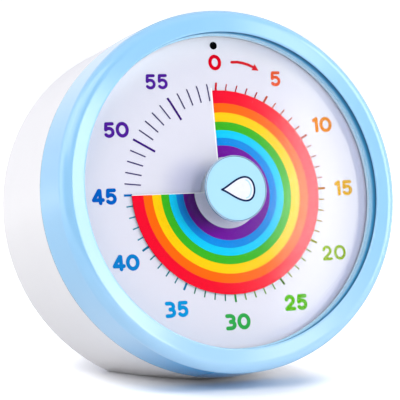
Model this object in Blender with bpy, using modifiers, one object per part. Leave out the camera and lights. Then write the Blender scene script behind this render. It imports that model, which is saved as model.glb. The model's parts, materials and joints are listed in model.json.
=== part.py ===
"""A desk visual timer: a drum that leans back on a flat, with a dial, a film that winds through it
and the movement that turns the film back to 0. Everything is in metres.

Most pieces are laid out in the dial's own frame: X to the right, Y up the dial and Z out of it,
with Z = 0 on the dial's flat ring. Clock angles run clockwise from the 0 mark at the top."""

import math

import bmesh
import bpy
from mathutils import Matrix, Vector

# How the timer stands
LEAN = math.radians(12.31)
FLAT_HALF_WIDTH = 0.0226
CLEARANCE = 0.0003
OVERCUT = 0.001
RING_SEGMENTS = 72
SMALL_SEGMENTS = 16
HOLE_SEGMENTS = 8

# The drum
DRUM_RADIUS = 0.0498
DRUM_BACK = -0.0436
DRUM_WALL = 0.0022
DRUM_EDGE = 0.0016
SPIGOT_WALL = 0.0019
SPIGOT_LENGTH = 0.0049
FLANGE_DEPTH = 0.0028

# The bezel
BEZEL_PROUD = 0.0002
BEZEL_FRONT = 0.0057
BEZEL_REAR = -0.0114
BEZEL_DRAFT = 0.0005
BEZEL_EDGE = 0.0015
BEZEL_WALL = 0.0023
BAND_WIDTH = 0.0059
BAND_SLOPE = 0.0006
BAND_THICKNESS = 0.0023
INNER_WALL_DRAFT = 0.0006
INNER_WALL_THICKNESS = 0.0026
LENS_LEDGE = 0.0005

# The lens
LENS_THICKNESS = 0.0012
LENS_FRONT = 0.0033
LENS_HOLE_RADIUS = 0.0062

# The dial and its well
DIAL_THICKNESS = 0.0004
DIAL_HOLE_RADIUS = 0.0077
WELL_RADIUS = 0.0288
WELL_RAMP = 0.0022
WELL_START = -0.0009
WELL_PITCH = 0.0012
SLIT_OFFSET = 0.0015
SLIT_WIDTH = 0.0004
DIAL_COLUMNS = 54

# The film
FILM_THICKNESS = 0.0002
FILM_EDGE_GAP = 0.0006
FILM_LEADING_EDGE = math.radians(270)
FILM_OVERLAP = math.radians(6)
FILM_STEPS = 54
TAB_WIDTH = 0.0014
TAB_DEPTH = 0.0012
TAB_ANGLE = math.radians(60)

# The knob and the shaft
HUB_RADIUS = 0.0055
HUB_FRONT = 0.0014
KNOB_RADIUS = 0.00908
KNOB_FRONT = 0.0066
KNOB_RIM = 0.0010
KNOB_LIP = 0.00043
KNOB_RECESS = 0.00085
KNOB_NECK_DROP = 0.0012
DISC_THICKNESS = 0.00045
ARBOR_RADIUS = 0.0015
ARBOR_IN_KNOB = 0.0026

# The dial carrier
CARRIER_TOP = -0.0024
CARRIER_FLOOR = 0.0016
CARRIER_HOLE_RADIUS = 0.0032

# The movement
BOX_WALL = 0.0015
BOX_LEFT = -0.025
BOX_RIGHT = 0.023
BOX_BOTTOM = -0.025
BOX_TOP = 0.030
BOX_CORNER = 0.004
BOX_INSIDE = 0.0108
LID_THICKNESS = 0.0015
BOSS_RADIUS = 0.0026
BOSS_INSET = 0.0033
WHEEL_THICKNESS = 0.0012
PIVOT_RADIUS = 0.0004
STAFF_RADIUS = 0.0009
END_PLAY = 0.0003
PINION_LEAVES = 8
CENTRE_TEETH = 48
CENTRE_MODULE = 0.0006
THIRD_TEETH = 40
THIRD_MODULE = 0.0005
SECOND_TEETH = 48
SECOND_MODULE = 0.00045
WHEEL_TOOTH_SHARE = 0.46
LEAF_SHARE = 0.36
THIRD_DIRECTION = math.radians(60)
SECOND_DIRECTION = math.radians(170)
ROTOR_DIRECTION = math.radians(215)
CENTRE_WHEEL_DROP = 0.0010
THIRD_WHEEL_DROP = 0.0030
SECOND_WHEEL_DROP = 0.0054
MAGNET_DROP = 0.0079
MAGNET_RADIUS = 0.0030
MAGNET_HEIGHT = 0.0021
MAGNET_GAP = 0.0006
STATOR_THICKNESS = 0.0014
STATOR_ARM = 0.004
COIL_RADIUS = 0.0031
COIL_LENGTH = 0.026
COIL_HEIGHT = -0.015
CORE_WIDTH = 0.0034
CLUTCH_RADIUS = 0.0046
CLUTCH_THICKNESS = 0.0003
CAM_RADIUS = 0.0040
CAM_LOBE = 0.0054
CAM_THICKNESS = 0.0010
LEAF_WIDTH = 0.0026
LEAF_THICKNESS = 0.0003
LEAF_SPACING = 0.0014

# Screws
CASE_SCREW_INSET = 0.0019
CASE_SCREW_ANGLE = math.radians(45)
CASE_SCREW_RADIUS = 0.0010
CASE_SCREW_LENGTH = 0.0153
SCREW_HEAD_RADIUS = 0.0020
SCREW_HEAD_HEIGHT = 0.0014
SCREW_PLAY = 0.0003
PILLAR_RADIUS = 0.0034
PILLAR_TIP_RADIUS = 0.0018
PILLAR_SHELF = 0.0084
BOX_SCREW_RADIUS = 0.0009
BOX_SCREW_BITE = 0.0008
BOX_SCREW_HEAD_RADIUS = 0.0018
BOX_SCREW_HEAD_HEIGHT = 0.0012

# The battery and its bay
CELL_RADIUS = 0.00725
CELL_LENGTH = 0.0505
CELL_TIP_RADIUS = 0.0027
CELL_TIP_HEIGHT = 0.0010
CELL_HEIGHT = -0.0165
BAY_ROOM = 0.0007
BAY_WALL = 0.0016
CONTACT_THICKNESS = 0.0004
CONTACT_WIDTH = 0.008
CONTACT_TAIL = 0.003
CONTACT_TAIL_OUT = 0.002
SPRING_ROOM = 0.0031
SPRING_WIRE = 0.00035
SPRING_RADIUS = 0.0034
SPRING_TURNS = 3
DOOR_THICKNESS = 0.0018
DOOR_LEDGE = 0.0012
LEDGE_THICKNESS = 0.0009
DOOR_TAB_WIDTH = 0.003
DOOR_TAB_SPACING = 0.010
DOOR_TAB_THICKNESS = 0.0010
DOOR_TAB_REACH = 0.0017
LATCH_WIDTH = 0.009
LATCH_DEPTH = 0.0033
LATCH_THICKNESS = 0.0008
LATCH_GAP = 0.0005
DOOR_GRIP_RADIUS = 0.0045
DOOR_GRIP_DEPTH = 0.0007

# The circuit board and what it carries
BOARD_LEFT = -0.024
BOARD_RIGHT = 0.024
BOARD_BOTTOM = 0.004
BOARD_TOP = 0.030
BOARD_THICKNESS = 0.0016
BOARD_CORNER = 0.001
BUZZER_X = -0.008
BUZZER_Y = 0.018
BUZZER_RADIUS = 0.011
BUZZER_HEIGHT = 0.0048
BUZZER_SEAT = 0.0012
BUZZER_SEAT_HEIGHT = 0.0020
GRILLE_HOLE_RADIUS = 0.0010
GRILLE_PITCH = 0.0037
GRILLE_RINGS = 2
SWITCH_X = 0.013
SWITCH_Y = 0.014
SWITCH_LENGTH = 0.010
SWITCH_WIDTH = 0.0044
SWITCH_HEIGHT = 0.0032
SLIDER_LENGTH = 0.0044
SLIDER_WIDTH = 0.0030
SLIDER_PROUD = 0.0010
SLIDER_TRAVEL = 0.0020
SLIDER_GROOVE = 0.00045
CHIP_SIZE = 0.006
CHIP_HEIGHT = 0.0011
CRYSTAL_RADIUS = 0.0014
CRYSTAL_LENGTH = 0.0075
LEAD_RADIUS = 0.0006
LEAD_BOW = 0.001
COIL_LEAD_X = 0.006
COIL_LEAD_SPACING = 0.004

# Sizes that follow from those above
GROUND_TO_AXIS = (
    math.sqrt(DRUM_RADIUS**2 - FLAT_HALF_WIDTH**2) * math.cos(LEAN) - DRUM_BACK * math.sin(LEAN)
)
BEZEL_RADIUS = DRUM_RADIUS + BEZEL_PROUD
BEZEL_FRONT_RADIUS = BEZEL_RADIUS - BEZEL_DRAFT
LIP_RADIUS = BEZEL_FRONT_RADIUS - BAND_WIDTH
FOOT_RADIUS = LIP_RADIUS - INNER_WALL_DRAFT
SKIRT_INSIDE = BEZEL_FRONT_RADIUS - BEZEL_WALL + BEZEL_DRAFT
LENS_BACK = LENS_FRONT - LENS_THICKNESS
SEAT_RADIUS = FOOT_RADIUS + LENS_LEDGE
STACK_RADIUS = SKIRT_INSIDE - CLEARANCE
CASE_SCREW_CIRCLE = STACK_RADIUS - CASE_SCREW_INSET
RAMP_RADIUS = WELL_RADIUS + WELL_RAMP
FILM_RADIUS = WELL_RADIUS - FILM_EDGE_GAP
FILM_SPAN = 2 * math.pi + FILM_OVERLAP
CARRIER_BOTTOM = CARRIER_TOP - CARRIER_FLOOR
CARRIER_RIM = -DIAL_THICKNESS - CLEARANCE
PILLAR_TIP = CARRIER_BOTTOM - CLEARANCE
DRUM_FRONT = BEZEL_REAR - CLEARANCE
BOX_FRONT = CARRIER_BOTTOM - CLEARANCE
GEAR_TOP = BOX_FRONT - BOX_WALL
BOX_BACK = GEAR_TOP - BOX_INSIDE
LID_FRONT = BOX_BACK - CLEARANCE
LID_BACK = LID_FRONT - LID_THICKNESS
DRUM_INSIDE_BACK = DRUM_BACK + DRUM_WALL
THIRD_DISTANCE = (CENTRE_TEETH + PINION_LEAVES) * CENTRE_MODULE / 2
SECOND_DISTANCE = (THIRD_TEETH + PINION_LEAVES) * THIRD_MODULE / 2
ROTOR_DISTANCE = (SECOND_TEETH + PINION_LEAVES) * SECOND_MODULE / 2


def polar(radius, angle):
    return Vector((radius * math.cos(angle), radius * math.sin(angle), 0))


THIRD_PLACE = polar(THIRD_DISTANCE, THIRD_DIRECTION)
SECOND_PLACE = THIRD_PLACE + polar(SECOND_DISTANCE, SECOND_DIRECTION)
ROTOR_PLACE = SECOND_PLACE + polar(ROTOR_DISTANCE, ROTOR_DIRECTION)

for old in list(bpy.data.objects):
    bpy.data.objects.remove(old)

timer = bpy.data.collections.new("visual_timer")
cutters = bpy.data.collections.new("cutters")
bpy.context.scene.collection.children.link(timer)
bpy.context.scene.collection.children.link(cutters)


# Materials

def material(name, colour, roughness, metallic=0.0, alpha=1.0):
    made = bpy.data.materials.new(name)
    made.use_nodes = True
    shader = made.node_tree.nodes["Principled BSDF"]
    shader.inputs["Base Color"].default_value = (*colour, 1)
    shader.inputs["Roughness"].default_value = roughness
    shader.inputs["Metallic"].default_value = metallic
    shader.inputs["Alpha"].default_value = alpha
    made.diffuse_color = (*colour, alpha)
    made.roughness = roughness
    made.metallic = metallic
    return made


BLUE_PLASTIC = material("pale_blue_plastic", (0.42, 0.69, 0.88), 0.35)
WHITE_PLASTIC = material("white_plastic", (0.86, 0.87, 0.89), 0.45)
CLEAR_PLASTIC = material("clear_plastic", (0.95, 0.97, 1.0), 0.05, alpha=0.2)
DIAL_CARD = material("dial_card", (0.90, 0.91, 0.95), 0.6)
FILM_PRINT = material("printed_film", (0.85, 0.05, 0.10), 0.3)
KNOB_PLASTIC = material("knob_plastic", (0.74, 0.91, 0.98), 0.3)
KNOB_PRINT = material("knob_print", (0.49, 0.84, 0.95), 0.3)
NATURAL_NYLON = material("natural_nylon", (0.80, 0.79, 0.72), 0.5)
GREY_PLASTIC = material("grey_plastic", (0.25, 0.26, 0.28), 0.5)
BLACK_PLASTIC = material("black_plastic", (0.03, 0.03, 0.03), 0.45)
STEEL = material("steel", (0.60, 0.61, 0.63), 0.3, 1.0)
SOFT_IRON = material("soft_iron", (0.45, 0.45, 0.46), 0.45, 1.0)
MAGNET = material("magnet", (0.16, 0.16, 0.17), 0.4, 0.6)
COPPER_WIRE = material("enamelled_copper", (0.60, 0.22, 0.10), 0.35, 1.0)
SPRING_BRASS = material("nickelled_brass", (0.78, 0.74, 0.62), 0.3, 1.0)
BOARD_GREEN = material("board_green", (0.03, 0.22, 0.09), 0.4)
CELL_WRAP = material("cell_wrap", (0.20, 0.22, 0.24), 0.35, 0.3)
RED_WIRE = material("red_wire", (0.60, 0.03, 0.03), 0.5)
BLACK_WIRE = material("black_wire", (0.02, 0.02, 0.02), 0.5)
WHITE_WIRE = material("white_wire", (0.75, 0.75, 0.75), 0.5)


# The frames that the pieces stand in

def empty(name, parent=None, location=(0, 0, 0)):
    made = bpy.data.objects.new(name, None)
    made.empty_display_size = 0.01
    made.parent = parent
    made.location = location
    timer.objects.link(made)
    return made


# The drum's and the bezel's edges reach furthest, so they set where the middle is from front to back.
FRONT_REACH = (
    (BEZEL_FRONT_RADIUS - BEZEL_EDGE) * math.sin(LEAN)
    + (BEZEL_FRONT - BEZEL_EDGE) * math.cos(LEAN)
    + BEZEL_EDGE
)
BACK_REACH = (
    (DRUM_RADIUS - DRUM_EDGE) * math.sin(LEAN)
    - (DRUM_BACK + DRUM_EDGE) * math.cos(LEAN)
    + DRUM_EDGE
)
dial_axis = empty("dial_axis", location=(0, (FRONT_REACH - BACK_REACH) / 2, GROUND_TO_AXIS))
dial_axis.rotation_euler = (math.pi / 2 - LEAN, 0, 0)
knob_axis = empty("knob_axis", dial_axis)


# Building tools

def place(obj, finish, parent=dial_axis, location=(0, 0, 0)):
    obj.parent = parent
    obj.location = location
    if finish is None:
        cutters.objects.link(obj)
        obj.hide_render = True
        obj.display_type = "WIRE"
    else:
        timer.objects.link(obj)
        obj.data.materials.append(finish)
    return obj


def from_bmesh(name, made, finish, location=(0, 0, 0), parent=dial_axis, smooth=False):
    data = bpy.data.meshes.new(name)
    bmesh.ops.recalc_face_normals(made, faces=made.faces)
    made.to_mesh(data)
    made.free()
    if smooth:
        data.shade_smooth()
        data.set_sharp_from_angle(angle=math.radians(35))
    return place(bpy.data.objects.new(name, data), finish, parent, location)


def turned(name, profile, finish, closed=True, segments=RING_SEGMENTS, location=(0, 0, 0), parent=dial_axis):
    """Turns a profile of (radius, height) points that runs down its outer side, round the Z axis."""
    data = bpy.data.meshes.new(name)
    points = [(radius, 0, height) for radius, height in profile]
    edges = [(i, i + 1) for i in range(len(points) - 1)]
    if closed:
        edges.append((len(points) - 1, 0))
    data.from_pydata(points, edges, [])
    obj = place(bpy.data.objects.new(name, data), finish, parent, location)
    screw = obj.modifiers.new("turn", "SCREW")
    screw.steps = segments
    screw.render_steps = segments
    screw.use_merge_vertices = True
    screw.merge_threshold = 0.00001
    screw.use_smooth_shade = True
    if not closed:
        flat = obj.modifiers.new("whole_ends", "DECIMATE")
        flat.decimate_type = "DISSOLVE"
        flat.angle_limit = math.radians(0.2)
    return obj


def arc(centre, radius, start, end, steps=5):
    turn = (end - start) / steps
    return [
        (
            centre[0] + radius * math.cos(math.radians(start + turn * i)),
            centre[1] + radius * math.sin(math.radians(start + turn * i)),
        )
        for i in range(steps + 1)
    ]


def cylinder(name, radius, top, bottom, finish=None, location=(0, 0), segments=SMALL_SEGMENTS):
    made = bmesh.new()
    middle = Matrix.Translation((0, 0, (top + bottom) / 2))
    bmesh.ops.create_cone(
        made,
        cap_ends=True,
        segments=segments,
        radius1=radius,
        radius2=radius,
        depth=top - bottom,
        matrix=middle,
    )
    return from_bmesh(name, made, finish, (*location, 0), smooth=True)


def box(name, low, high, finish=None, location=(0, 0, 0), parent=dial_axis):
    made = bmesh.new()
    low, high = Vector(low), Vector(high)
    size = high - low
    bmesh.ops.create_cube(made, size=1)
    bmesh.ops.scale(made, vec=size, verts=made.verts)
    bmesh.ops.translate(made, vec=(low + high) / 2, verts=made.verts)
    return from_bmesh(name, made, finish, location, parent)


def mesh_from_curve(curve, finish, parent, location):
    """The welded mesh of a curve, so that it can be cut and joined."""
    timer.objects.link(curve)
    bpy.context.view_layer.update()
    graph = bpy.context.evaluated_depsgraph_get()
    data = bpy.data.meshes.new_from_object(curve.evaluated_get(graph))
    name = curve.name
    bpy.data.objects.remove(curve)
    made = bmesh.new()
    made.from_mesh(data)
    bpy.data.meshes.remove(data)
    bmesh.ops.remove_doubles(made, verts=made.verts, dist=0.000002)
    return from_bmesh(name, made, finish, location, parent)


def plate(name, outline, top, bottom, finish=None, location=(0, 0), holes=(), parent=dial_axis):
    """A flat outline, with any holes, as a solid between two heights."""
    data = bpy.data.curves.new(name, "CURVE")
    data.dimensions = "2D"
    data.fill_mode = "BOTH"
    data.extrude = (top - bottom) / 2
    for points in (outline, *holes):
        spline = data.splines.new("POLY")
        spline.points.add(len(points) - 1)
        for point, (x, y) in zip(spline.points, points):
            point.co = (x, y, 0, 1)
        spline.use_cyclic_u = True
    curve = bpy.data.objects.new(name, data)
    obj = mesh_from_curve(curve, finish, parent, (*location, 0))
    obj.data.transform(Matrix.Translation((0, 0, (top + bottom) / 2)))
    return obj


def tube(name, points, radius, finish):
    """A wire along a smooth curve through hand-placed points."""
    data = bpy.data.curves.new(name, "CURVE")
    data.dimensions = "3D"
    data.bevel_depth = radius
    data.bevel_resolution = 0
    data.use_fill_caps = True
    spline = data.splines.new("POLY")
    spline.points.add(len(points) - 1)
    for point, place_on_curve in zip(spline.points, points):
        point.co = (*place_on_curve, 1)
    return mesh_from_curve(bpy.data.objects.new(name, data), finish, dial_axis, (0, 0, 0))


def smooth_route(points, steps=2):
    """Points along a Catmull-Rom curve through the given ones."""
    line = [Vector(p) for p in points]
    ends = [2 * line[0] - line[1], *line, 2 * line[-1] - line[-2]]
    route = []
    for a, b, c, d in zip(ends, ends[1:], ends[2:], ends[3:]):
        for i in range(steps):
            t = i / steps
            bend = (2 * a - 5 * b + 4 * c - d) * t**2
            twist = (3 * b - 3 * c + d - a) * t**3
            route.append((2 * b + (c - a) * t + bend + twist) / 2)
    route.append(line[-1])
    return route


def boolean(obj, other, operation):
    modifier = obj.modifiers.new(other.name, "BOOLEAN")
    modifier.operation = operation
    modifier.object = other
    modifier.solver = "EXACT"


def cut(obj, *others):
    for other in others:
        boolean(obj, other, "DIFFERENCE")


def join(obj, *others):
    for other in others:
        boolean(obj, other, "UNION")


def circle(radius, segments=SMALL_SEGMENTS, centre=(0, 0)):
    return [
        (
            centre[0] + radius * math.cos(2 * math.pi * i / segments),
            centre[1] + radius * math.sin(2 * math.pi * i / segments),
        )
        for i in range(segments)
    ]


def rounded_rectangle(left, right, bottom, top, corner, steps=2):
    outline = []
    for centre, start in (
        ((right - corner, top - corner), 0),
        ((left + corner, top - corner), 90),
        ((left + corner, bottom + corner), 180),
        ((right - corner, bottom + corner), 270),
    ):
        outline += arc(centre, corner, start, start + 90, steps)
    return outline


# The front

def build_bezel():
    lip_edge = 0.3 * BAND_THICKNESS / 2
    lip_front = BEZEL_FRONT - BAND_SLOPE
    profile = [
        (LIP_RADIUS, lip_front - lip_edge),
        *arc((LIP_RADIUS + lip_edge, lip_front - lip_edge), lip_edge, 135, 95, 1),
        *arc((BEZEL_FRONT_RADIUS - BEZEL_EDGE, BEZEL_FRONT - BEZEL_EDGE), BEZEL_EDGE, 92, 0, 4),
        (BEZEL_RADIUS, BEZEL_REAR),
        (SKIRT_INSIDE, BEZEL_REAR),
        (SKIRT_INSIDE, BEZEL_FRONT - BAND_THICKNESS),
        (FOOT_RADIUS + INNER_WALL_THICKNESS, BEZEL_FRONT - BAND_THICKNESS),
        (FOOT_RADIUS + INNER_WALL_THICKNESS, CLEARANCE),
        (FOOT_RADIUS, CLEARANCE),
        (FOOT_RADIUS, LENS_BACK - CLEARANCE),
        (SEAT_RADIUS, LENS_BACK - CLEARANCE),
    ]
    bezel = turned("bezel", profile, BLUE_PLASTIC)
    for number, (x, y) in enumerate(case_screw_places()):
        boss_top = BEZEL_FRONT - BAND_THICKNESS / 2
        boss = cylinder(f"bezel_boss_{number}", PILLAR_TIP_RADIUS, boss_top, 2 * CLEARANCE, None, (x, y), 16)
        join(bezel, boss)
    for number, (x, y) in enumerate(case_screw_places()):
        hole_top = PILLAR_TIP - PILLAR_SHELF + CASE_SCREW_LENGTH + CLEARANCE
        radius = CASE_SCREW_RADIUS + SCREW_PLAY
        hole = cylinder(
            f"bezel_pilot_{number}", radius, hole_top, -OVERCUT, None, (x, y), HOLE_SEGMENTS
        )
        cut(bezel, hole)


def case_screw_places():
    for quarter in range(4):
        place_on_circle = polar(CASE_SCREW_CIRCLE, CASE_SCREW_ANGLE + quarter * math.pi / 2)
        yield place_on_circle.x, place_on_circle.y


def build_lens():
    edge = SEAT_RADIUS - CLEARANCE
    profile = [
        (LENS_HOLE_RADIUS, LENS_FRONT),
        (edge, LENS_FRONT),
        (edge, LENS_BACK),
        (LENS_HOLE_RADIUS, LENS_BACK),
    ]
    turned("lens", profile, CLEAR_PLASTIC)


def well_height(angle):
    """Height of the dial's screw-shaped well at a clock angle."""
    return WELL_START + WELL_PITCH * angle / (2 * math.pi)


def build_dial():
    """A thin sheet whose middle is one turn of a screw, cut open along the slit, and whose rim is flat."""
    rings = [
        (DIAL_HOLE_RADIUS, 1.0),
        (WELL_RADIUS, 1.0),
        (RAMP_RADIUS, 0.0),
        (STACK_RADIUS, 0.0),
    ]
    made = bmesh.new()
    upper, lower = [], []
    for radius, share in rings:
        half_slit = SLIT_WIDTH / 2 * share
        first = -math.asin((SLIT_OFFSET - half_slit) / radius)
        last = 2 * math.pi - math.asin((SLIT_OFFSET + half_slit) / radius)
        upper_row, lower_row = [], []
        for column in range(DIAL_COLUMNS + (share > 0)):
            angle = first + (last - first) * column / DIAL_COLUMNS
            x, y = radius * math.sin(angle), radius * math.cos(angle)
            height = share * well_height(angle)
            upper_row.append(made.verts.new((x, y, height)))
            lower_row.append(made.verts.new((x, y, height - DIAL_THICKNESS)))
        if not share:
            upper_row.append(upper_row[0])
            lower_row.append(lower_row[0])
        upper.append(upper_row)
        lower.append(lower_row)

    for ring in range(len(rings) - 1):
        for column in range(DIAL_COLUMNS):
            for rows in (upper, lower):
                inner, outer = rows[ring], rows[ring + 1]
                made.faces.new((inner[column], inner[column + 1], outer[column + 1], outer[column]))
    for column in range(DIAL_COLUMNS):
        for ring in (0, -1):
            made.faces.new(
                (upper[ring][column], upper[ring][column + 1], lower[ring][column + 1], lower[ring][column])
            )
    for ring in range(len(rings) - 2):
        for column in (0, -1):
            made.faces.new(
                (upper[ring][column], upper[ring + 1][column], lower[ring + 1][column], lower[ring][column])
            )
    dial = from_bmesh("dial", made, DIAL_CARD)
    for number, (x, y) in enumerate(case_screw_places()):
        radius = CASE_SCREW_RADIUS + SCREW_PLAY
        hole = cylinder(
            f"dial_hole_{number}", radius, OVERCUT, -OVERCUT, None, (x, y), HOLE_SEGMENTS
        )
        cut(dial, hole)


def build_film():
    """One turn and a little more of thin sheet: on the dial up to the slit, and under it behind the slit."""
    inner = HUB_RADIUS + CLEARANCE - TAB_DEPTH
    low = well_height(FILM_LEADING_EDGE) + CLEARANCE
    start = math.pi / 2 - FILM_LEADING_EDGE
    made = bmesh.new()
    corners = [
        made.verts.new((radius * math.cos(start), radius * math.sin(start), height))
        for radius, height in (
            (inner, low),
            (FILM_RADIUS, low),
            (FILM_RADIUS, low + FILM_THICKNESS),
            (inner, low + FILM_THICKNESS),
        )
    ]
    edge_face = made.faces.new(corners)
    fall = -WELL_PITCH * FILM_SPAN / (2 * math.pi) / FILM_STEPS
    bmesh.ops.spin(
        made,
        geom=[edge_face, *edge_face.edges, *edge_face.verts],
        cent=(0, 0, 0),
        axis=(0, 0, 1),
        dvec=(0, 0, fall),
        angle=FILM_SPAN,
        steps=FILM_STEPS,
        use_duplicate=False,
    )
    film = from_bmesh("timer_film", made, FILM_PRINT, parent=knob_axis)
    outline = keyed_outline(HUB_RADIUS + CLEARANCE, inner - CLEARANCE, TAB_WIDTH)
    core = plate("film_core_cutter", outline, HUB_FRONT, CARRIER_TOP, parent=knob_axis)
    cut(film, core)


def keyed_outline(radius, floor_radius, key_width):
    """A circle with two opposite keyways, as the hub has."""
    outline = []
    half = math.asin(key_width / 2 / radius)
    middle = math.pi / 2 - TAB_ANGLE
    for turn in (0, math.pi):
        first = middle + turn + half
        last = middle + turn + math.pi - half
        for i in range(SMALL_SEGMENTS // 2 + 1):
            angle = first + (last - first) * i / (SMALL_SEGMENTS // 2)
            outline.append((radius * math.cos(angle), radius * math.sin(angle)))
        floor_half = math.asin(key_width / 2 / floor_radius)
        for side in (-floor_half, floor_half):
            angle = middle + turn + math.pi + side
            outline.append((floor_radius * math.cos(angle), floor_radius * math.sin(angle)))
    return outline


def build_hub():
    keyway = TAB_WIDTH + 2 * CLEARANCE
    floor_radius = HUB_RADIUS - TAB_DEPTH
    outline = keyed_outline(HUB_RADIUS, floor_radius, keyway)
    bore = circle(ARBOR_RADIUS + CLEARANCE, SMALL_SEGMENTS)
    back = CARRIER_TOP + CLEARANCE
    plate("film_hub", outline, HUB_FRONT, back, NATURAL_NYLON, holes=(bore,), parent=knob_axis)


def build_knob():
    back = HUB_FRONT + CLEARANCE
    recess = KNOB_FRONT - KNOB_RECESS
    bore = ARBOR_RADIUS + CLEARANCE
    lip_inside = KNOB_RADIUS - KNOB_LIP
    chamfer = KNOB_LIP / 3
    profile = [
        (0, recess),
        (lip_inside, recess),
        (lip_inside, KNOB_FRONT - chamfer),
        (lip_inside + chamfer, KNOB_FRONT),
        (KNOB_RADIUS - chamfer, KNOB_FRONT),
        (KNOB_RADIUS, KNOB_FRONT - chamfer),
        (KNOB_RADIUS, KNOB_FRONT - KNOB_RIM + chamfer),
        (KNOB_RADIUS - chamfer, KNOB_FRONT - KNOB_RIM),
        (HUB_RADIUS + chamfer, KNOB_FRONT - KNOB_RIM - KNOB_NECK_DROP + chamfer),
        (HUB_RADIUS, KNOB_FRONT - KNOB_RIM - KNOB_NECK_DROP),
        (HUB_RADIUS, back),
        (bore, back),
        (bore, back + ARBOR_IN_KNOB + CLEARANCE),
        (0, back + ARBOR_IN_KNOB + CLEARANCE),
    ]
    turned("knob_cap", profile, KNOB_PLASTIC, closed=False, segments=40, parent=knob_axis)
    low = recess + CLEARANCE
    radius = lip_inside - CLEARANCE
    edge = DISC_THICKNESS / 4
    profile = [
        (0, low + DISC_THICKNESS),
        (radius - edge, low + DISC_THICKNESS),
        (radius, low + DISC_THICKNESS - edge),
        (radius, low),
        (0, low),
    ]
    turned("knob_disc", profile, KNOB_PRINT, closed=False, segments=40, parent=knob_axis)


def build_carrier():
    well_wall = RAMP_RADIUS + 2 * CLEARANCE
    profile = [
        (CARRIER_HOLE_RADIUS, CARRIER_TOP),
        (well_wall, CARRIER_TOP),
        (well_wall, CARRIER_RIM),
        (STACK_RADIUS, CARRIER_RIM),
        (STACK_RADIUS, CARRIER_BOTTOM),
        (CARRIER_HOLE_RADIUS, CARRIER_BOTTOM),
    ]
    carrier = turned("dial_carrier", profile, WHITE_PLASTIC, segments=36)
    for number, (x, y) in enumerate(case_screw_places()):
        radius = CASE_SCREW_RADIUS + SCREW_PLAY
        bottom = CARRIER_BOTTOM - OVERCUT
        hole = cylinder(f"carrier_hole_{number}", radius, 0, bottom, None, (x, y), HOLE_SEGMENTS)
        cut(carrier, hole)
    for number, (x, y) in enumerate(box_screw_places()):
        pilot = cylinder(
            f"carrier_pilot_{number}",
            BOX_SCREW_RADIUS + SCREW_PLAY,
            CARRIER_BOTTOM + BOX_SCREW_BITE + CLEARANCE,
            CARRIER_BOTTOM - OVERCUT,
            None,
            (x, y),
            HOLE_SEGMENTS,
        )
        cut(carrier, pilot)


# The back

def ground_block(name, depth):
    """Everything below a height in the world, as a cutter."""
    reach = 3 * DRUM_RADIUS
    return box(name, (-reach, -reach, -reach), (reach, reach, depth), parent=None)


def build_rear_case():
    spigot = STACK_RADIUS
    spigot_front = DRUM_FRONT + SPIGOT_LENGTH
    profile = [
        (0, spigot_front),
        (spigot, spigot_front),
        (spigot, DRUM_FRONT),
        (DRUM_RADIUS, DRUM_FRONT),
        *arc((DRUM_RADIUS - DRUM_EDGE, DRUM_BACK + DRUM_EDGE), DRUM_EDGE, 0, -90, 3),
        (0, DRUM_BACK),
    ]
    case = turned("rear_case", profile, WHITE_PLASTIC, closed=False)
    cut(case, ground_block("ground", 0))

    flange_back = DRUM_FRONT - FLANGE_DEPTH
    profile = [
        (0, spigot_front + OVERCUT),
        (spigot - SPIGOT_WALL, spigot_front + OVERCUT),
        (spigot - SPIGOT_WALL, flange_back),
        (DRUM_RADIUS - DRUM_WALL, flange_back),
        (DRUM_RADIUS - DRUM_WALL, DRUM_INSIDE_BACK),
        (0, DRUM_INSIDE_BACK),
    ]
    hollow = turned("drum_hollow", profile, None, closed=False)
    cut(hollow, ground_block("floor_wall", DRUM_WALL))
    cut(case, hollow)

    pillar_back = DRUM_BACK + DRUM_WALL / 2
    for number, (x, y) in enumerate(case_screw_places()):
        top = DRUM_FRONT - CLEARANCE
        join(case, cylinder(f"pillar_{number}", PILLAR_RADIUS, top, pillar_back, None, (x, y), 12))
        root = DRUM_FRONT - OVERCUT
        join(case, cylinder(f"pillar_tip_{number}", PILLAR_TIP_RADIUS, PILLAR_TIP, root, None, (x, y), 12))
    for number, (x, y) in enumerate(case_screw_places()):
        shelf = PILLAR_TIP - PILLAR_SHELF
        head = cylinder(
            f"screw_well_{number}", SCREW_HEAD_RADIUS + SCREW_PLAY, shelf, DRUM_BACK - OVERCUT, None, (x, y)
        )
        shank = cylinder(
            f"screw_way_{number}",
            CASE_SCREW_RADIUS + SCREW_PLAY,
            PILLAR_TIP + OVERCUT,
            shelf - OVERCUT,
            None,
            (x, y),
            HOLE_SEGMENTS,
        )
        cut(case, head, shank)
    add_battery_bay(case)
    add_board_seats(case)


CELL_DEPTH = DRUM_BACK + DOOR_THICKNESS + BAY_ROOM + CELL_RADIUS
BAY_HALF_LENGTH = (CELL_LENGTH + SPRING_ROOM + CONTACT_THICKNESS + 4 * CLEARANCE) / 2
BAY_HALF_WIDTH = CELL_RADIUS + BAY_ROOM
BAY_FLOOR = CELL_DEPTH + CELL_RADIUS + BAY_ROOM
DOOR_INSIDE = DRUM_BACK + DOOR_THICKNESS
DOOR_HALF_LENGTH = BAY_HALF_LENGTH + DOOR_LEDGE
DOOR_HALF_WIDTH = BAY_HALF_WIDTH + DOOR_LEDGE
TAB_BACK = DOOR_THICKNESS + 2 * CLEARANCE + LEDGE_THICKNESS
CELL_X = BAY_HALF_LENGTH - CELL_LENGTH / 2 - CONTACT_THICKNESS - 2 * CLEARANCE
PLUS_PLATE_X = BAY_HALF_LENGTH - CLEARANCE
MINUS_PLATE_X = -BAY_HALF_LENGTH + CLEARANCE
BOARD_BACK = DRUM_INSIDE_BACK + CLEARANCE + BUZZER_HEIGHT + CLEARANCE
BOARD_FRONT = BOARD_BACK + BOARD_THICKNESS


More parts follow.
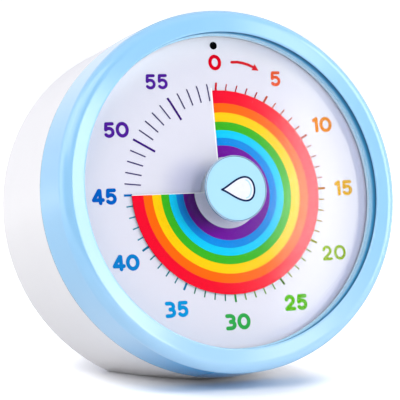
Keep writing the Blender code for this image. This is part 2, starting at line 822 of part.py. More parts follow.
def door_tab_places():
    return [CELL_HEIGHT + side * DOOR_TAB_SPACING / 2 for side in (-1, 1)]


def add_battery_bay(case):
    """A tray behind the movement that opens to the back, with a ledge for its door."""
    middle = (0, CELL_HEIGHT, 0)
    outer = box(
        "bay_walls",
        (-BAY_HALF_LENGTH - BAY_WALL, -BAY_HALF_WIDTH - BAY_WALL, DRUM_BACK + DRUM_WALL / 2),
        (BAY_HALF_LENGTH + BAY_WALL, BAY_HALF_WIDTH + BAY_WALL, BAY_FLOOR + BAY_WALL),
        location=middle,
    )
    inner = box(
        "bay_hollow",
        (-BAY_HALF_LENGTH, -BAY_HALF_WIDTH, DRUM_BACK - OVERCUT),
        (BAY_HALF_LENGTH, BAY_HALF_WIDTH, BAY_FLOOR),
        location=middle,
    )
    ledge = box(
        "door_recess",
        (-DOOR_HALF_LENGTH, -DOOR_HALF_WIDTH, DRUM_BACK - OVERCUT),
        (DOOR_HALF_LENGTH, DOOR_HALF_WIDTH, DOOR_INSIDE + CLEARANCE),
        location=middle,
    )
    join(case, outer)
    cut(case, inner, ledge)
    tab_swing = math.hypot(DOOR_TAB_REACH, TAB_BACK + DOOR_TAB_THICKNESS)
    for number, y in enumerate(door_tab_places()):
        slot = box(
            f"tab_slot_{number}",
            (
                -DOOR_HALF_LENGTH - DOOR_TAB_REACH - CLEARANCE,
                -DOOR_TAB_WIDTH / 2 - CLEARANCE,
                DRUM_BACK + TAB_BACK - CLEARANCE,
            ),
            (-BAY_HALF_LENGTH + CLEARANCE, DOOR_TAB_WIDTH / 2 + CLEARANCE, DRUM_BACK + tab_swing + CLEARANCE),
            location=(0, y, 0),
        )
        cut(case, slot)
    half_tail = CONTACT_TAIL / 2 + CLEARANCE
    for number, x in enumerate((PLUS_PLATE_X - CONTACT_THICKNESS, MINUS_PLATE_X)):
        far_side = x + CONTACT_THICKNESS + CLEARANCE
        slot = box(
            f"tail_slot_{number}",
            (x - CLEARANCE, CELL_HEIGHT - half_tail, BAY_FLOOR - OVERCUT),
            (far_side, CELL_HEIGHT + half_tail, BAY_FLOOR + BAY_WALL + OVERCUT),
        )
        cut(case, slot)


def board_screw_places():
    inset = 2 * SCREW_HEAD_RADIUS
    return [(BOARD_LEFT + inset, BOARD_BOTTOM + inset), (BOARD_RIGHT - inset, BOARD_TOP - inset)]


def grille_places():
    yield BUZZER_X, BUZZER_Y
    for ring in range(1, GRILLE_RINGS + 1):
        for hole in range(6):
            at = polar(ring * GRILLE_PITCH, math.radians(60 * hole + 30 * (ring - 1)))
            yield BUZZER_X + at.x, BUZZER_Y + at.y


def add_board_seats(case):
    """The screw posts for the board, the buzzer's seat and grille, and the slot of the volume slider."""
    for number, (x, y) in enumerate(board_screw_places()):
        root = DRUM_BACK + DRUM_WALL / 2
        post = cylinder(f"board_post_{number}", BOSS_RADIUS, BOARD_BACK - CLEARANCE, root, None, (x, y))
        join(case, post)
        pilot = cylinder(
            f"board_pilot_{number}",
            BOX_SCREW_RADIUS + SCREW_PLAY,
            BOARD_BACK + OVERCUT,
            DRUM_INSIDE_BACK + BOX_SCREW_BITE,
            None,
            (x, y),
            HOLE_SEGMENTS,
        )
        cut(case, pilot)
    seat_inside = BUZZER_RADIUS + CLEARANCE
    seat = plate(
        "buzzer_seat",
        circle(seat_inside + BUZZER_SEAT, 24),
        DRUM_INSIDE_BACK + BUZZER_SEAT_HEIGHT,
        DRUM_BACK + DRUM_WALL / 2,
        location=(BUZZER_X, BUZZER_Y),
        holes=(circle(seat_inside, 24),),
    )
    join(case, seat)
    for number, (x, y) in enumerate(grille_places()):
        hole = cylinder(
            f"grille_{number}",
            GRILLE_HOLE_RADIUS,
            DRUM_INSIDE_BACK + OVERCUT,
            DRUM_BACK - OVERCUT,
            None,
            (x, y),
            HOLE_SEGMENTS,
        )
        cut(case, hole)
    slot_half = SLIDER_LENGTH / 2 + SLIDER_TRAVEL + CLEARANCE
    slot = box(
        "slider_slot",
        (-slot_half, -SLIDER_WIDTH / 2 - CLEARANCE, DRUM_BACK - OVERCUT),
        (slot_half, SLIDER_WIDTH / 2 + CLEARANCE, DRUM_INSIDE_BACK + OVERCUT),
        location=(SWITCH_X, SWITCH_Y, 0),
    )
    cut(case, slot)


def build_door():
    edge = DOOR_HALF_LENGTH - CLEARANCE
    hinge = (-edge, CELL_HEIGHT, DRUM_BACK)
    door = box(
        "battery_door",
        (0, -DOOR_HALF_WIDTH + CLEARANCE, 0),
        (2 * edge, DOOR_HALF_WIDTH - CLEARANCE, DOOR_THICKNESS),
        WHITE_PLASTIC,
        location=hinge,
    )
    grip = cylinder("door_grip", DOOR_GRIP_RADIUS, DRUM_BACK + DOOR_GRIP_DEPTH, DRUM_BACK - OVERCUT)
    grip.location = (edge - 2 * DOOR_GRIP_RADIUS, CELL_HEIGHT, 0)
    cut(door, grip)
    tab_low = TAB_BACK
    neck = edge - BAY_HALF_LENGTH + 2 * CLEARANCE
    for number, y in enumerate(door_tab_places()):
        half = DOOR_TAB_WIDTH / 2
        tab = box(
            f"door_tab_{number}",
            (-DOOR_TAB_REACH + CLEARANCE, -half, tab_low),
            (neck + DOOR_TAB_THICKNESS, half, tab_low + DOOR_TAB_THICKNESS),
            location=(-edge, y, DRUM_BACK),
        )
        root = box(
            f"door_tab_root_{number}",
            (neck, -half, DOOR_THICKNESS / 2),
            (neck + DOOR_TAB_THICKNESS, half, tab_low + DOOR_TAB_THICKNESS / 2),
            location=(-edge, y, DRUM_BACK),
        )
        join(tab, root)
        join(door, tab)
    latch_x = BAY_HALF_LENGTH - LATCH_GAP
    latch = box(
        "door_latch",
        (latch_x - LATCH_THICKNESS, -LATCH_WIDTH / 2, DRUM_BACK + DOOR_THICKNESS / 2),
        (latch_x, LATCH_WIDTH / 2, DOOR_INSIDE + LATCH_DEPTH),
        location=(0, CELL_HEIGHT, 0),
    )
    join(door, latch)


def build_battery():
    made = bmesh.new()
    along = Matrix.Translation((CELL_X, CELL_HEIGHT, CELL_DEPTH)) @ Matrix.Rotation(math.pi / 2, 4, "Y")
    body = CELL_LENGTH - CELL_TIP_HEIGHT
    bmesh.ops.create_cone(
        made,
        cap_ends=True,
        segments=SMALL_SEGMENTS,
        radius1=CELL_RADIUS,
        radius2=CELL_RADIUS,
        depth=body,
        matrix=along @ Matrix.Translation((0, 0, -CELL_TIP_HEIGHT / 2)),
    )
    cell = from_bmesh("battery", made, CELL_WRAP, smooth=True)
    made = bmesh.new()
    bmesh.ops.create_cone(
        made,
        cap_ends=True,
        segments=20,
        radius1=CELL_TIP_RADIUS,
        radius2=CELL_TIP_RADIUS,
        depth=2 * CELL_TIP_HEIGHT,
        matrix=along @ Matrix.Translation((0, 0, CELL_LENGTH / 2 - CELL_TIP_HEIGHT)),
    )
    join(cell, from_bmesh("battery_tip", made, None))


def contact_plate(name, x, finish):
    """A flat contact against the end of the bay, with a tail through its floor."""
    half = CONTACT_WIDTH / 2
    blade = box(
        name,
        (x, -half, -half),
        (x + CONTACT_THICKNESS, half, half),
        finish,
        location=(0, CELL_HEIGHT, CELL_DEPTH),
    )
    tail = box(
        f"{name}_tail",
        (x, -CONTACT_TAIL / 2, 0),
        (x + CONTACT_THICKNESS, CONTACT_TAIL / 2, BAY_FLOOR + BAY_WALL + CONTACT_TAIL_OUT - CELL_DEPTH),
        location=(0, CELL_HEIGHT, CELL_DEPTH),
    )
    join(blade, tail)
    return blade


def build_contacts():
    contact_plate("battery_plus", PLUS_PLATE_X - CONTACT_THICKNESS, SPRING_BRASS)
    minus = contact_plate("battery_spring", MINUS_PLATE_X, SPRING_BRASS)
    start = MINUS_PLATE_X + CONTACT_THICKNESS / 2
    end = CELL_X - CELL_LENGTH / 2 - CLEARANCE - SPRING_WIRE
    steps = 10 * SPRING_TURNS
    points = []
    for i in range(steps + 1):
        share = i / steps
        angle = 2 * math.pi * SPRING_TURNS * share
        radius = SPRING_RADIUS * (1 - 0.45 * share)
        points.append(
            (
                start + (end - start) * share,
                CELL_HEIGHT + radius * math.cos(angle),
                CELL_DEPTH + radius * math.sin(angle),
            )
        )
    join(minus, tube("spring_wire", points, SPRING_WIRE, None))


# The board

def build_board():
    board = plate(
        "main_board",
        rounded_rectangle(BOARD_LEFT, BOARD_RIGHT, BOARD_BOTTOM, BOARD_TOP, BOARD_CORNER),
        BOARD_FRONT,
        BOARD_BACK,
        BOARD_GREEN,
        holes=[circle(BOX_SCREW_RADIUS + SCREW_PLAY, HOLE_SEGMENTS, at) for at in board_screw_places()],
    )
    for number, (x, y) in enumerate(board_screw_places(), 1):
        top = BOARD_FRONT + CLEARANCE + BOX_SCREW_HEAD_HEIGHT
        tip = DRUM_INSIDE_BACK + BOX_SCREW_BITE + CLEARANCE
        screw_piece(
            f"board_screw_{number}",
            x,
            y,
            top,
            BOX_SCREW_HEAD_RADIUS,
            BOX_SCREW_HEAD_HEIGHT,
            BOX_SCREW_RADIUS,
            tip,
        )
    cylinder(
        "buzzer",
        BUZZER_RADIUS,
        BOARD_BACK - CLEARANCE,
        DRUM_INSIDE_BACK + CLEARANCE,
        BLACK_PLASTIC,
        (BUZZER_X, BUZZER_Y),
        24,
    )
    switch_top = BOARD_BACK - CLEARANCE
    half = SWITCH_LENGTH / 2
    switch = box(
        "switch_body",
        (-half, -SWITCH_WIDTH / 2, switch_top - SWITCH_HEIGHT),
        (half, SWITCH_WIDTH / 2, switch_top),
        GREY_PLASTIC,
        location=(SWITCH_X, SWITCH_Y, 0),
    )
    stem_half = SLIDER_LENGTH / 6
    stem_width = SLIDER_WIDTH / 4
    groove_depth = SWITCH_HEIGHT / 2
    groove_half = stem_half + SLIDER_TRAVEL + CLEARANCE
    groove_back = switch_top - SWITCH_HEIGHT - OVERCUT
    groove = box(
        "switch_groove",
        (-groove_half, -stem_width - CLEARANCE, groove_back),
        (groove_half, stem_width + CLEARANCE, switch_top - groove_depth),
        location=(SWITCH_X, SWITCH_Y, 0),
    )
    cut(switch, groove)
    shoulder = switch_top - SWITCH_HEIGHT - CLEARANCE
    slider = box(
        "volume_slider",
        (-SLIDER_LENGTH / 2, -SLIDER_WIDTH / 2, DRUM_BACK - SLIDER_PROUD),
        (SLIDER_LENGTH / 2, SLIDER_WIDTH / 2, shoulder),
        GREY_PLASTIC,
        location=(SWITCH_X, SWITCH_Y, 0),
    )
    stem = box(
        "slider_stem",
        (-stem_half, -stem_width, shoulder - CLEARANCE),
        (stem_half, stem_width, switch_top - groove_depth - CLEARANCE),
        location=(SWITCH_X, SWITCH_Y, 0),
    )
    join(slider, stem)
    for number in (-1, 0, 1):
        x = number * SLIDER_LENGTH / 3.6
        rib = box(
            f"slider_groove_{number + 1}",
            (x - SLIDER_GROOVE / 2, -SLIDER_WIDTH, DRUM_BACK - SLIDER_PROUD - OVERCUT),
            (x + SLIDER_GROOVE / 2, SLIDER_WIDTH, DRUM_BACK - SLIDER_PROUD + SLIDER_GROOVE),
            location=(SWITCH_X, SWITCH_Y, 0),
        )
        cut(slider, rib)
    chip_low = BOARD_FRONT + CLEARANCE
    middle_y = (BOARD_BOTTOM + BOARD_TOP) / 2
    box(
        "quartz_chip",
        (-CHIP_SIZE / 2, -CHIP_SIZE / 2, chip_low),
        (CHIP_SIZE / 2, CHIP_SIZE / 2, chip_low + CHIP_HEIGHT),
        BLACK_PLASTIC,
        location=(0, middle_y, 0),
    )
    made = bmesh.new()
    lying = Matrix.Translation((0, 0, chip_low + CRYSTAL_RADIUS)) @ Matrix.Rotation(math.pi / 2, 4, "Y")
    bmesh.ops.create_cone(
        made,
        cap_ends=True,
        segments=16,
        radius1=CRYSTAL_RADIUS,
        radius2=CRYSTAL_RADIUS,
        depth=CRYSTAL_LENGTH,
        matrix=lying,
    )
    from_bmesh("crystal", made, STEEL, (CHIP_SIZE / 2 + CRYSTAL_LENGTH, middle_y, 0), smooth=True)
    return board


def build_leads():
    """Wires from the contacts' tails and the coil to the board."""
    tail_end = BAY_FLOOR + BAY_WALL + CONTACT_TAIL_OUT + CLEARANCE + LEAD_RADIUS
    board_face = BOARD_FRONT + CLEARANCE
    lead_y = BOARD_BOTTOM + 3 * LEAD_BOW
    for name, x, board_x, finish in (
        ("battery_lead_plus", PLUS_PLATE_X - CONTACT_THICKNESS / 2, BOARD_RIGHT - 6 * LEAD_BOW, RED_WIRE),
        ("battery_lead_minus", MINUS_PLATE_X + CONTACT_THICKNESS / 2, BOARD_LEFT + 12 * LEAD_BOW, BLACK_WIRE),
    ):
        route = [
            (x, CELL_HEIGHT, tail_end),
            (x, CELL_HEIGHT + 3 * LEAD_BOW, tail_end + 0.7 * LEAD_BOW),
            ((2 * x + board_x) / 3, CELL_HEIGHT + 10 * LEAD_BOW, tail_end + 0.2 * LEAD_BOW),
            ((x + 2 * board_x) / 3, lead_y - 6 * LEAD_BOW, tail_end - 2 * LEAD_BOW),
            (board_x, lead_y, board_face + 4 * LEAD_BOW),
            (board_x, lead_y, board_face),
        ]
        tube(name, smooth_route(route), LEAD_RADIUS, finish)
    lead_y = BOARD_BOTTOM + 4 * LEAD_BOW
    for name, x in zip(("motor_lead_1", "motor_lead_2"), motor_lead_places()):
        board_x = x - 2 * LEAD_BOW
        route = [
            (x, COIL_HEIGHT, LID_FRONT + 0.2 * LEAD_BOW),
            (x, COIL_HEIGHT, LID_BACK - LEAD_BOW),
            (x - LEAD_BOW, COIL_HEIGHT + 6 * LEAD_BOW, LID_BACK - 3 * LEAD_BOW),
            (board_x, COIL_HEIGHT + 15 * LEAD_BOW, LID_BACK - 6 * LEAD_BOW),
            (board_x, lead_y, board_face + 4 * LEAD_BOW),
            (board_x, lead_y, board_face),
        ]
        tube(name, smooth_route(route), LEAD_RADIUS, WHITE_WIRE)


def motor_lead_places():
    return [COIL_LEAD_X + side * COIL_LEAD_SPACING / 2 for side in (-1, 1)]


def screw_piece(name, x, y, head_end, head_radius, head_height, radius, tip, finish=STEEL):
    """A screw from the outer face of its head to its tip, either way round."""
    way = 1 if head_end < tip else -1
    under_head = head_end + way * head_height
    profile = [
        (0, head_end),
        (head_radius, head_end),
        (head_radius, under_head),
        (radius, under_head),
        (radius, tip),
        (0, tip),
    ]
    if way > 0:
        profile.reverse()
    turned(name, profile, finish, closed=False, segments=10, location=(x, y, 0))


def build_case_screws():
    for number, (x, y) in enumerate(case_screw_places(), 1):
        under_head = PILLAR_TIP - PILLAR_SHELF - CLEARANCE
        screw_piece(
            f"case_screw_{number}",
            x,
            y,
            under_head - SCREW_HEAD_HEIGHT,
            SCREW_HEAD_RADIUS,
            SCREW_HEAD_HEIGHT,
            CASE_SCREW_RADIUS,
            under_head + CASE_SCREW_LENGTH,
        )


# The movement

def box_screw_places():
    left, right = BOX_LEFT + BOSS_INSET, BOX_RIGHT - BOSS_INSET
    low, high = BOX_BOTTOM + BOSS_INSET, BOX_TOP - BOSS_INSET
    return [(left, low), (right, low), (left, high), (right, high)]


def pivot_places():
    return [THIRD_PLACE, SECOND_PLACE, ROTOR_PLACE]


def build_movement_box():
    outer = rounded_rectangle(BOX_LEFT, BOX_RIGHT, BOX_BOTTOM, BOX_TOP, BOX_CORNER)
    case = plate("movement_box", outer, BOX_FRONT, BOX_BACK, GREY_PLASTIC)
    inner = rounded_rectangle(
        BOX_LEFT + BOX_WALL,
        BOX_RIGHT - BOX_WALL,
        BOX_BOTTOM + BOX_WALL,
        BOX_TOP - BOX_WALL,
        BOX_CORNER - BOX_WALL,
    )
    cut(case, plate("box_hollow", inner, GEAR_TOP, BOX_BACK - OVERCUT))
    for number, (x, y) in enumerate(box_screw_places()):
        top = BOX_FRONT - BOX_WALL / 2
        join(case, cylinder(f"box_boss_{number}", BOSS_RADIUS, top, BOX_BACK, None, (x, y), 12))
    for number, (x, y) in enumerate(box_screw_places()):
        way = cylinder(
            f"box_way_{number}",
            BOX_SCREW_RADIUS + SCREW_PLAY,
            BOX_FRONT + OVERCUT,
            BOX_BACK - OVERCUT,
            None,
            (x, y),
            HOLE_SEGMENTS,
        )
        cut(case, way)
    bearings = bearing_holes("box_bearing", BOX_FRONT + OVERCUT, GEAR_TOP - OVERCUT)
    cut(case, *bearings)

    lid = plate("movement_lid", outer, LID_FRONT, LID_BACK, GREY_PLASTIC)
    for number, (x, y) in enumerate(box_screw_places()):
        way = cylinder(
            f"lid_way_{number}",
            BOX_SCREW_RADIUS + SCREW_PLAY,
            LID_FRONT + OVERCUT,
            LID_BACK - OVERCUT,
            None,
            (x, y),
            HOLE_SEGMENTS,
        )
        cut(lid, way)
    cut(lid, *bearing_holes("lid_bearing", LID_FRONT + OVERCUT, LID_BACK - OVERCUT))
    for number, x in enumerate(motor_lead_places()):
        hole = cylinder(
            f"lead_hole_{number}",
            LEAD_RADIUS + SCREW_PLAY,
            LID_FRONT + OVERCUT,
            LID_BACK - OVERCUT,
            None,
            (x, COIL_HEIGHT),
            HOLE_SEGMENTS,
        )
        cut(lid, hole)
    for number, (x, y) in enumerate(box_screw_places(), 1):
        screw_piece(
            f"movement_screw_{number}",
            x,
            y,
            LID_BACK - CLEARANCE - BOX_SCREW_HEAD_HEIGHT,
            BOX_SCREW_HEAD_RADIUS,
            BOX_SCREW_HEAD_HEIGHT,
            BOX_SCREW_RADIUS,
            CARRIER_BOTTOM + BOX_SCREW_BITE,
        )


def bearing_holes(name, top, bottom):
    yield cylinder(f"{name}_arbor", ARBOR_RADIUS + CLEARANCE, top, bottom, None, (0, 0), SMALL_SEGMENTS)
    for number, at in enumerate(pivot_places()):
        yield cylinder(
            f"{name}_{number}", PIVOT_RADIUS + CLEARANCE, top, bottom, None, (at.x, at.y), HOLE_SEGMENTS
        )


def gear_outline(teeth, module, share, addendum, start):
    """Clock-wheel teeth, plain and straight-sided, that narrow from root to tip."""
    pitch_radius = teeth * module / 2
    half_tooth = math.pi / teeth * share
    flank = [(-1.2 * module, 1.25), (addendum * module, 0.4)]
    outline = []
    for tooth in range(teeth):
        middle = start + 2 * math.pi * tooth / teeth
        for height, width in flank:
            at = polar(pitch_radius + height, middle - half_tooth * width)
            outline.append((at.x, at.y))
        for height, width in reversed(flank):
            at = polar(pitch_radius + height, middle + half_tooth * width)
            outline.append((at.x, at.y))
    return outline


def wheel_outline(teeth, module, start):
    return gear_outline(teeth, module, WHEEL_TOOTH_SHARE, 1.0, start)


def windows(teeth, module):
    """Five round windows between a wheel's rim and its middle."""
    reach = teeth * module
    return [circle(0.1 * reach, 10, polar(0.31 * reach, math.radians(72 * i)).xy) for i in range(5)]


def pinion_outline(module, direction):
    """A pinion whose gap faces the wheel that drives it, which lies against the given direction."""
    return gear_outline(PINION_LEAVES, module, LEAF_SHARE, 0.6, direction + math.pi - math.pi / PINION_LEAVES)


def train_wheel(name, at, wheel_drop, teeth, module, next_direction, pinion_module, back_direction):
    """A wheel with its pinion in front of it, on a staff that ends in two pivots."""
    top = GEAR_TOP - wheel_drop
    bottom = top - WHEEL_THICKNESS
    pinion_top = top + 2 * WHEEL_THICKNESS
    wheel = plate(
        name,
        wheel_outline(teeth, module, next_direction),
        top,
        bottom,
        NATURAL_NYLON,
        (at.x, at.y),
    )
    pinion = plate(
        f"{name}_pinion",
        pinion_outline(pinion_module, back_direction),
        pinion_top,
        bottom + WHEEL_THICKNESS / 2,
        location=(at.x, at.y),
    )
    join(wheel, pinion, *staff(name, at, bottom - END_PLAY))


def staff(name, at, back):
    """The staff through a wheel, and the thin pivot that turns in the two plates."""
    front = GEAR_TOP - END_PLAY
    body = cylinder(f"{name}_staff", STAFF_RADIUS, front, back, None, (at.x, at.y), HOLE_SEGMENTS)
    pivot = cylinder(
        f"{name}_pivot",
        PIVOT_RADIUS,
        front + BOX_WALL / 2,
        LID_FRONT - LID_THICKNESS / 2,
        None,
        (at.x, at.y),
        HOLE_SEGMENTS,
    )
    return body, pivot


def build_train():
    top = GEAR_TOP - CENTRE_WHEEL_DROP
    bottom = top - WHEEL_THICKNESS
    bore = circle(ARBOR_RADIUS + CLEARANCE, SMALL_SEGMENTS)
    plate(
        "centre_wheel",
        wheel_outline(CENTRE_TEETH, CENTRE_MODULE, THIRD_DIRECTION),
        top,
        bottom,
        NATURAL_NYLON,
        holes=(bore, *windows(CENTRE_TEETH, CENTRE_MODULE)),
        parent=knob_axis,
    )
    clutch_top = bottom - CLEARANCE
    clutch_bottom = clutch_top - CLUTCH_THICKNESS
    clutch_outline = []
    for i in range(30):
        wave = 0.5 + 0.5 * math.cos(3 * 2 * math.pi * i / 30)
        at = polar(CLUTCH_RADIUS * (0.62 + 0.38 * wave), 2 * math.pi * i / 30)
        clutch_outline.append((at.x, at.y))
    plate("clutch_spring", clutch_outline, clutch_top, clutch_bottom, STEEL, holes=(bore,), parent=knob_axis)

    cam_top = clutch_bottom - CLEARANCE
    cam_bottom = cam_top - CAM_THICKNESS
    cam_outline = []
    for i in range(40):
        from_lobe = (i - 20) * math.pi / 20
        rise = max(0.0, math.cos(from_lobe * 2.5)) if abs(from_lobe) < math.pi / 5 else 0.0
        at = polar(CAM_RADIUS + (CAM_LOBE - CAM_RADIUS) * rise, from_lobe + math.pi)
        cam_outline.append((at.x, at.y))
    plate("alarm_cam", cam_outline, cam_top, cam_bottom, NATURAL_NYLON, holes=(bore,), parent=knob_axis)

    collar_top = cam_bottom - CLEARANCE
    arbor_top = HUB_FRONT + CLEARANCE + ARBOR_IN_KNOB
    collar = 2 * ARBOR_RADIUS
    profile = [
        (0, arbor_top),
        (0.7 * ARBOR_RADIUS, arbor_top),
        (ARBOR_RADIUS, arbor_top - 0.3 * ARBOR_RADIUS),
        (ARBOR_RADIUS, collar_top),
        (collar, collar_top),
        (collar, collar_top - CAM_THICKNESS),
        (ARBOR_RADIUS, collar_top - CAM_THICKNESS),
        (ARBOR_RADIUS, LID_BACK),
        (0, LID_BACK),
    ]
    turned("arbor", profile, STEEL, closed=False, segments=16, parent=knob_axis)

    train_wheel(
        "third_wheel",
        THIRD_PLACE,
        THIRD_WHEEL_DROP,
        THIRD_TEETH,
        THIRD_MODULE,
        SECOND_DIRECTION,
        CENTRE_MODULE,
        THIRD_DIRECTION,
    )
    train_wheel(
        "second_wheel",
        SECOND_PLACE,
        SECOND_WHEEL_DROP,
        SECOND_TEETH,
        SECOND_MODULE,
        ROTOR_DIRECTION,
        THIRD_MODULE,
        SECOND_DIRECTION,
    )
    magnet_top = GEAR_TOP - MAGNET_DROP
    rotor = cylinder(
        "rotor",
        MAGNET_RADIUS,
        magnet_top,
        magnet_top - MAGNET_HEIGHT,
        MAGNET,
        (ROTOR_PLACE.x, ROTOR_PLACE.y),
        20,
    )
    pinion = plate(
        "rotor_pinion",
        pinion_outline(SECOND_MODULE, ROTOR_DIRECTION),
        GEAR_TOP - SECOND_WHEEL_DROP + WHEEL_THICKNESS / 3,
        magnet_top - MAGNET_HEIGHT / 2,
        location=(ROTOR_PLACE.x, ROTOR_PLACE.y),
    )
    join(rotor, pinion, *staff("rotor", ROTOR_PLACE, magnet_top - MAGNET_HEIGHT - END_PLAY))


def build_motor():
    """The step motor's C-shaped stator, and the core bar and coil across its legs."""
    magnet_middle = GEAR_TOP - MAGNET_DROP - MAGNET_HEIGHT / 2
    top = magnet_middle + STATOR_THICKNESS / 2
    bottom = magnet_middle - STATOR_THICKNESS / 2
    hole = MAGNET_RADIUS + MAGNET_GAP
    x, y = ROTOR_PLACE.x, ROTOR_PLACE.y
    eye = hole + STATOR_ARM / 2
    half_coil = COIL_LENGTH / 2 + CLEARANCE
    left, right = -half_coil - STATOR_ARM, half_coil + STATOR_ARM
    foot = COIL_HEIGHT - CORE_WIDTH / 2
    arm_top = y + STATOR_ARM / 2
    arm_bottom = y - STATOR_ARM / 2
    outline = [
        (min(left, x - eye), y + eye),
        (x + eye, y + eye),
        (x + eye, arm_top),
        (right, arm_top),
        (right, foot),
        (half_coil, foot),
        (half_coil, arm_bottom),
        (x + eye, arm_bottom),
        (x + eye, y - eye),
        (-half_coil, y - eye),
        (-half_coil, foot),
        (left, foot),
        (left, y - eye),
        (min(left, x - eye), y - eye),
    ]
    if x - eye >= left:
        del outline[-2:]
    plate("stator", outline, top, bottom, SOFT_IRON, holes=(circle(hole, 24, (x, y)),))
    core_bottom = top + CLEARANCE
    core_top = core_bottom + STATOR_THICKNESS
    box(
        "coil_core",
        (left, foot, core_bottom),
        (right, foot + CORE_WIDTH, core_top),
        SOFT_IRON,
    )
    middle = (core_top + core_bottom) / 2
    made = bmesh.new()
    lying = Matrix.Translation((0, COIL_HEIGHT, middle)) @ Matrix.Rotation(math.pi / 2, 4, "Y")
    bmesh.ops.create_cone(
        made,
        cap_ends=True,
        segments=16,
        radius1=COIL_RADIUS,
        radius2=COIL_RADIUS,
        depth=COIL_LENGTH,
        matrix=lying,
    )
    coil = from_bmesh("coil", made, COPPER_WIRE, smooth=True)
    bore = box(
        "coil_bore",
        (-COIL_LENGTH, foot - CLEARANCE, core_bottom - CLEARANCE),
        (COIL_LENGTH, foot + CORE_WIDTH + CLEARANCE, core_top + CLEARANCE),
    )
    cut(coil, bore)


def build_alarm_contact():
    """Two leaves on the lid beside the cam. Its lobe comes round to the nearer one at 0."""
    height = GEAR_TOP - CENTRE_WHEEL_DROP - WHEEL_THICKNESS - 2 * CLEARANCE - CLUTCH_THICKNESS
    for number in (1, 2):
        y = -CAM_LOBE - CLEARANCE - (number - 1) * LEAF_SPACING
        box(
            f"alarm_leaf_{number}",
            (-LEAF_WIDTH / 2, y - LEAF_THICKNESS, LID_FRONT + CLEARANCE),
            (LEAF_WIDTH / 2, y, height),
            SPRING_BRASS,
        )


build_bezel()
build_lens()
build_dial()
build_film()
build_hub()
build_knob()
build_carrier()
build_rear_case()
build_door()
build_battery()
build_contacts()
build_board()
build_leads()
build_case_screws()
build_movement_box()
build_train()
build_motor()
build_alarm_contact()
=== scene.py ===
"""The visual timer as it looks: its shell, its printed dial and film, and a soft studio."""

import json
import math

import bmesh
import bpy
from mathutils import Matrix, Quaternion, Vector


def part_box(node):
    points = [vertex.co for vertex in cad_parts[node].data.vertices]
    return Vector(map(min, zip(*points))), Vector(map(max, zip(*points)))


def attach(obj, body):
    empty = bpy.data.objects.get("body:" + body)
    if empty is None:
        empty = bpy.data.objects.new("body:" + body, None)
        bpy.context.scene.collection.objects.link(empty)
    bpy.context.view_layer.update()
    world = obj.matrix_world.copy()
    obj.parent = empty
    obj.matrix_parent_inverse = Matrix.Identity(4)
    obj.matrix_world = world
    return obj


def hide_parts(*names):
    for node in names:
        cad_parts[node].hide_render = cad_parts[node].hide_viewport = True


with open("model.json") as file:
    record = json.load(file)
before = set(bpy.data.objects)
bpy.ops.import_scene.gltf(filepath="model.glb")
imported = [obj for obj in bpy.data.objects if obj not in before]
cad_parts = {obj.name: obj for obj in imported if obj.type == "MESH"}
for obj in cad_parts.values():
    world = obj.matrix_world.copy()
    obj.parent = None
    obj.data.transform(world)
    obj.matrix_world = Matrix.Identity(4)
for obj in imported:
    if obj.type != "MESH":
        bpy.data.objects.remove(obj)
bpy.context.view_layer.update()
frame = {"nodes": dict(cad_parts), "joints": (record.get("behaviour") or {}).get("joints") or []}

MM = 0.001

# The dial's own frame: X to the right, Y up the dial and Z out of it, from its middle.
KNOB_JOINT = next(joint for joint in frame["joints"] if joint["name"] == "knob_turn")
DIAL_MIDDLE = Vector(KNOB_JOINT["pos_m"])
OUTWARD = Vector(KNOB_JOINT["axis"]).normalized()
ACROSS = Vector((1, 0, 0))
UP_THE_DIAL = OUTWARD.cross(ACROSS)
DIAL = Matrix((ACROSS, UP_THE_DIAL, OUTWARD)).transposed().to_4x4()
DIAL.translation = DIAL_MIDDLE

# Sizes of the dial in millimetres. The print is laid out in units of the ring of minute marks.
RING = 30.0
WELL_RADIUS = 28.8
FLAT_RADIUS = 31.0
WELL_START = -0.9
WELL_PITCH = 1.2
SLIT_OFFSET = 1.5
SLIT_EDGE = 1.75
SLIT_MARGIN = 0.27
FILM_MARGIN = 0.18
FILM_PRINT_DROP = 0.25
FILM_EDGE_FROM = -4.0
SLIT_END = 0.96
KNOB_FACE = 6.56
KNOB_GROOVE_EDGE = 8.93
KNOB_RIM_SPAN = (6.44, 6.54)
INK_THICKNESS = 0.02
INK_LIFT = 0.03
INK_STEP = 0.002

# The ring's profile in millimetres: radius from the dial's axis, height over its face.
LIP_RADIUS = 43.85
LIP_ROUND = 0.5
EDGE_CENTRE = (46.66, 2.22)
EDGE_ROUND = 3.2
BAND_SLOPE = 5
WALL_FRONT = 5.4
SKIRT_RADIUS = 49.6
SKIRT_FRONT = 2.0
# Below this height the skirt's back edge carries a painted contact shadow.
CONTACT_SHADOW_HEIGHT = -11.1

# The copper band and the steel cap of the cell's wrap, in metres from its plus end.
CELL_BAND = 0.012
CELL_CAP = 0.0022

# Where the ring's painted light and shade change: millimetres below or above the dial's middle.
LOW_SPAN = (10.0, 45.0)
UNDERSIDE_SPAN = (36.0, 50.0)
TOP_SPAN = (12.0, 42.0)

# Where the painted shadows and painted light on the card and the film lie. A radius is in units of
# the ring of minute marks, and the rest is in metres.
RIM_SHADE = (1.31, 1.385)
RIM_SHADE_ACROSS = (0.0, 0.025)
TOP_LIGHT = (1.15, 1.4)
TOP_LIGHT_UP = (0.015, 0.035)
KNOB_SHADE_REACH = (0.003, 0.011)
DIAL_SHADE_PLACE = (-0.010, 0.0015, -0.0005)
FILM_SHADE_PLACE = (-0.0075, -0.0027, -0.0005)

# The lens's gloss seen head on, and the thin sheets' faint wave: its lean, and its size in metres.
HEAD_ON_GLOSS = 0.008
WAVE = 0.01
WAVE_SIZE = 0.012

# Angles in degrees above which an edge stays sharp, and the distance at which points are welded.
CAD_SHARP = 32
TURNED_SHARP = 35
WELD = 0.000001


# Node trees

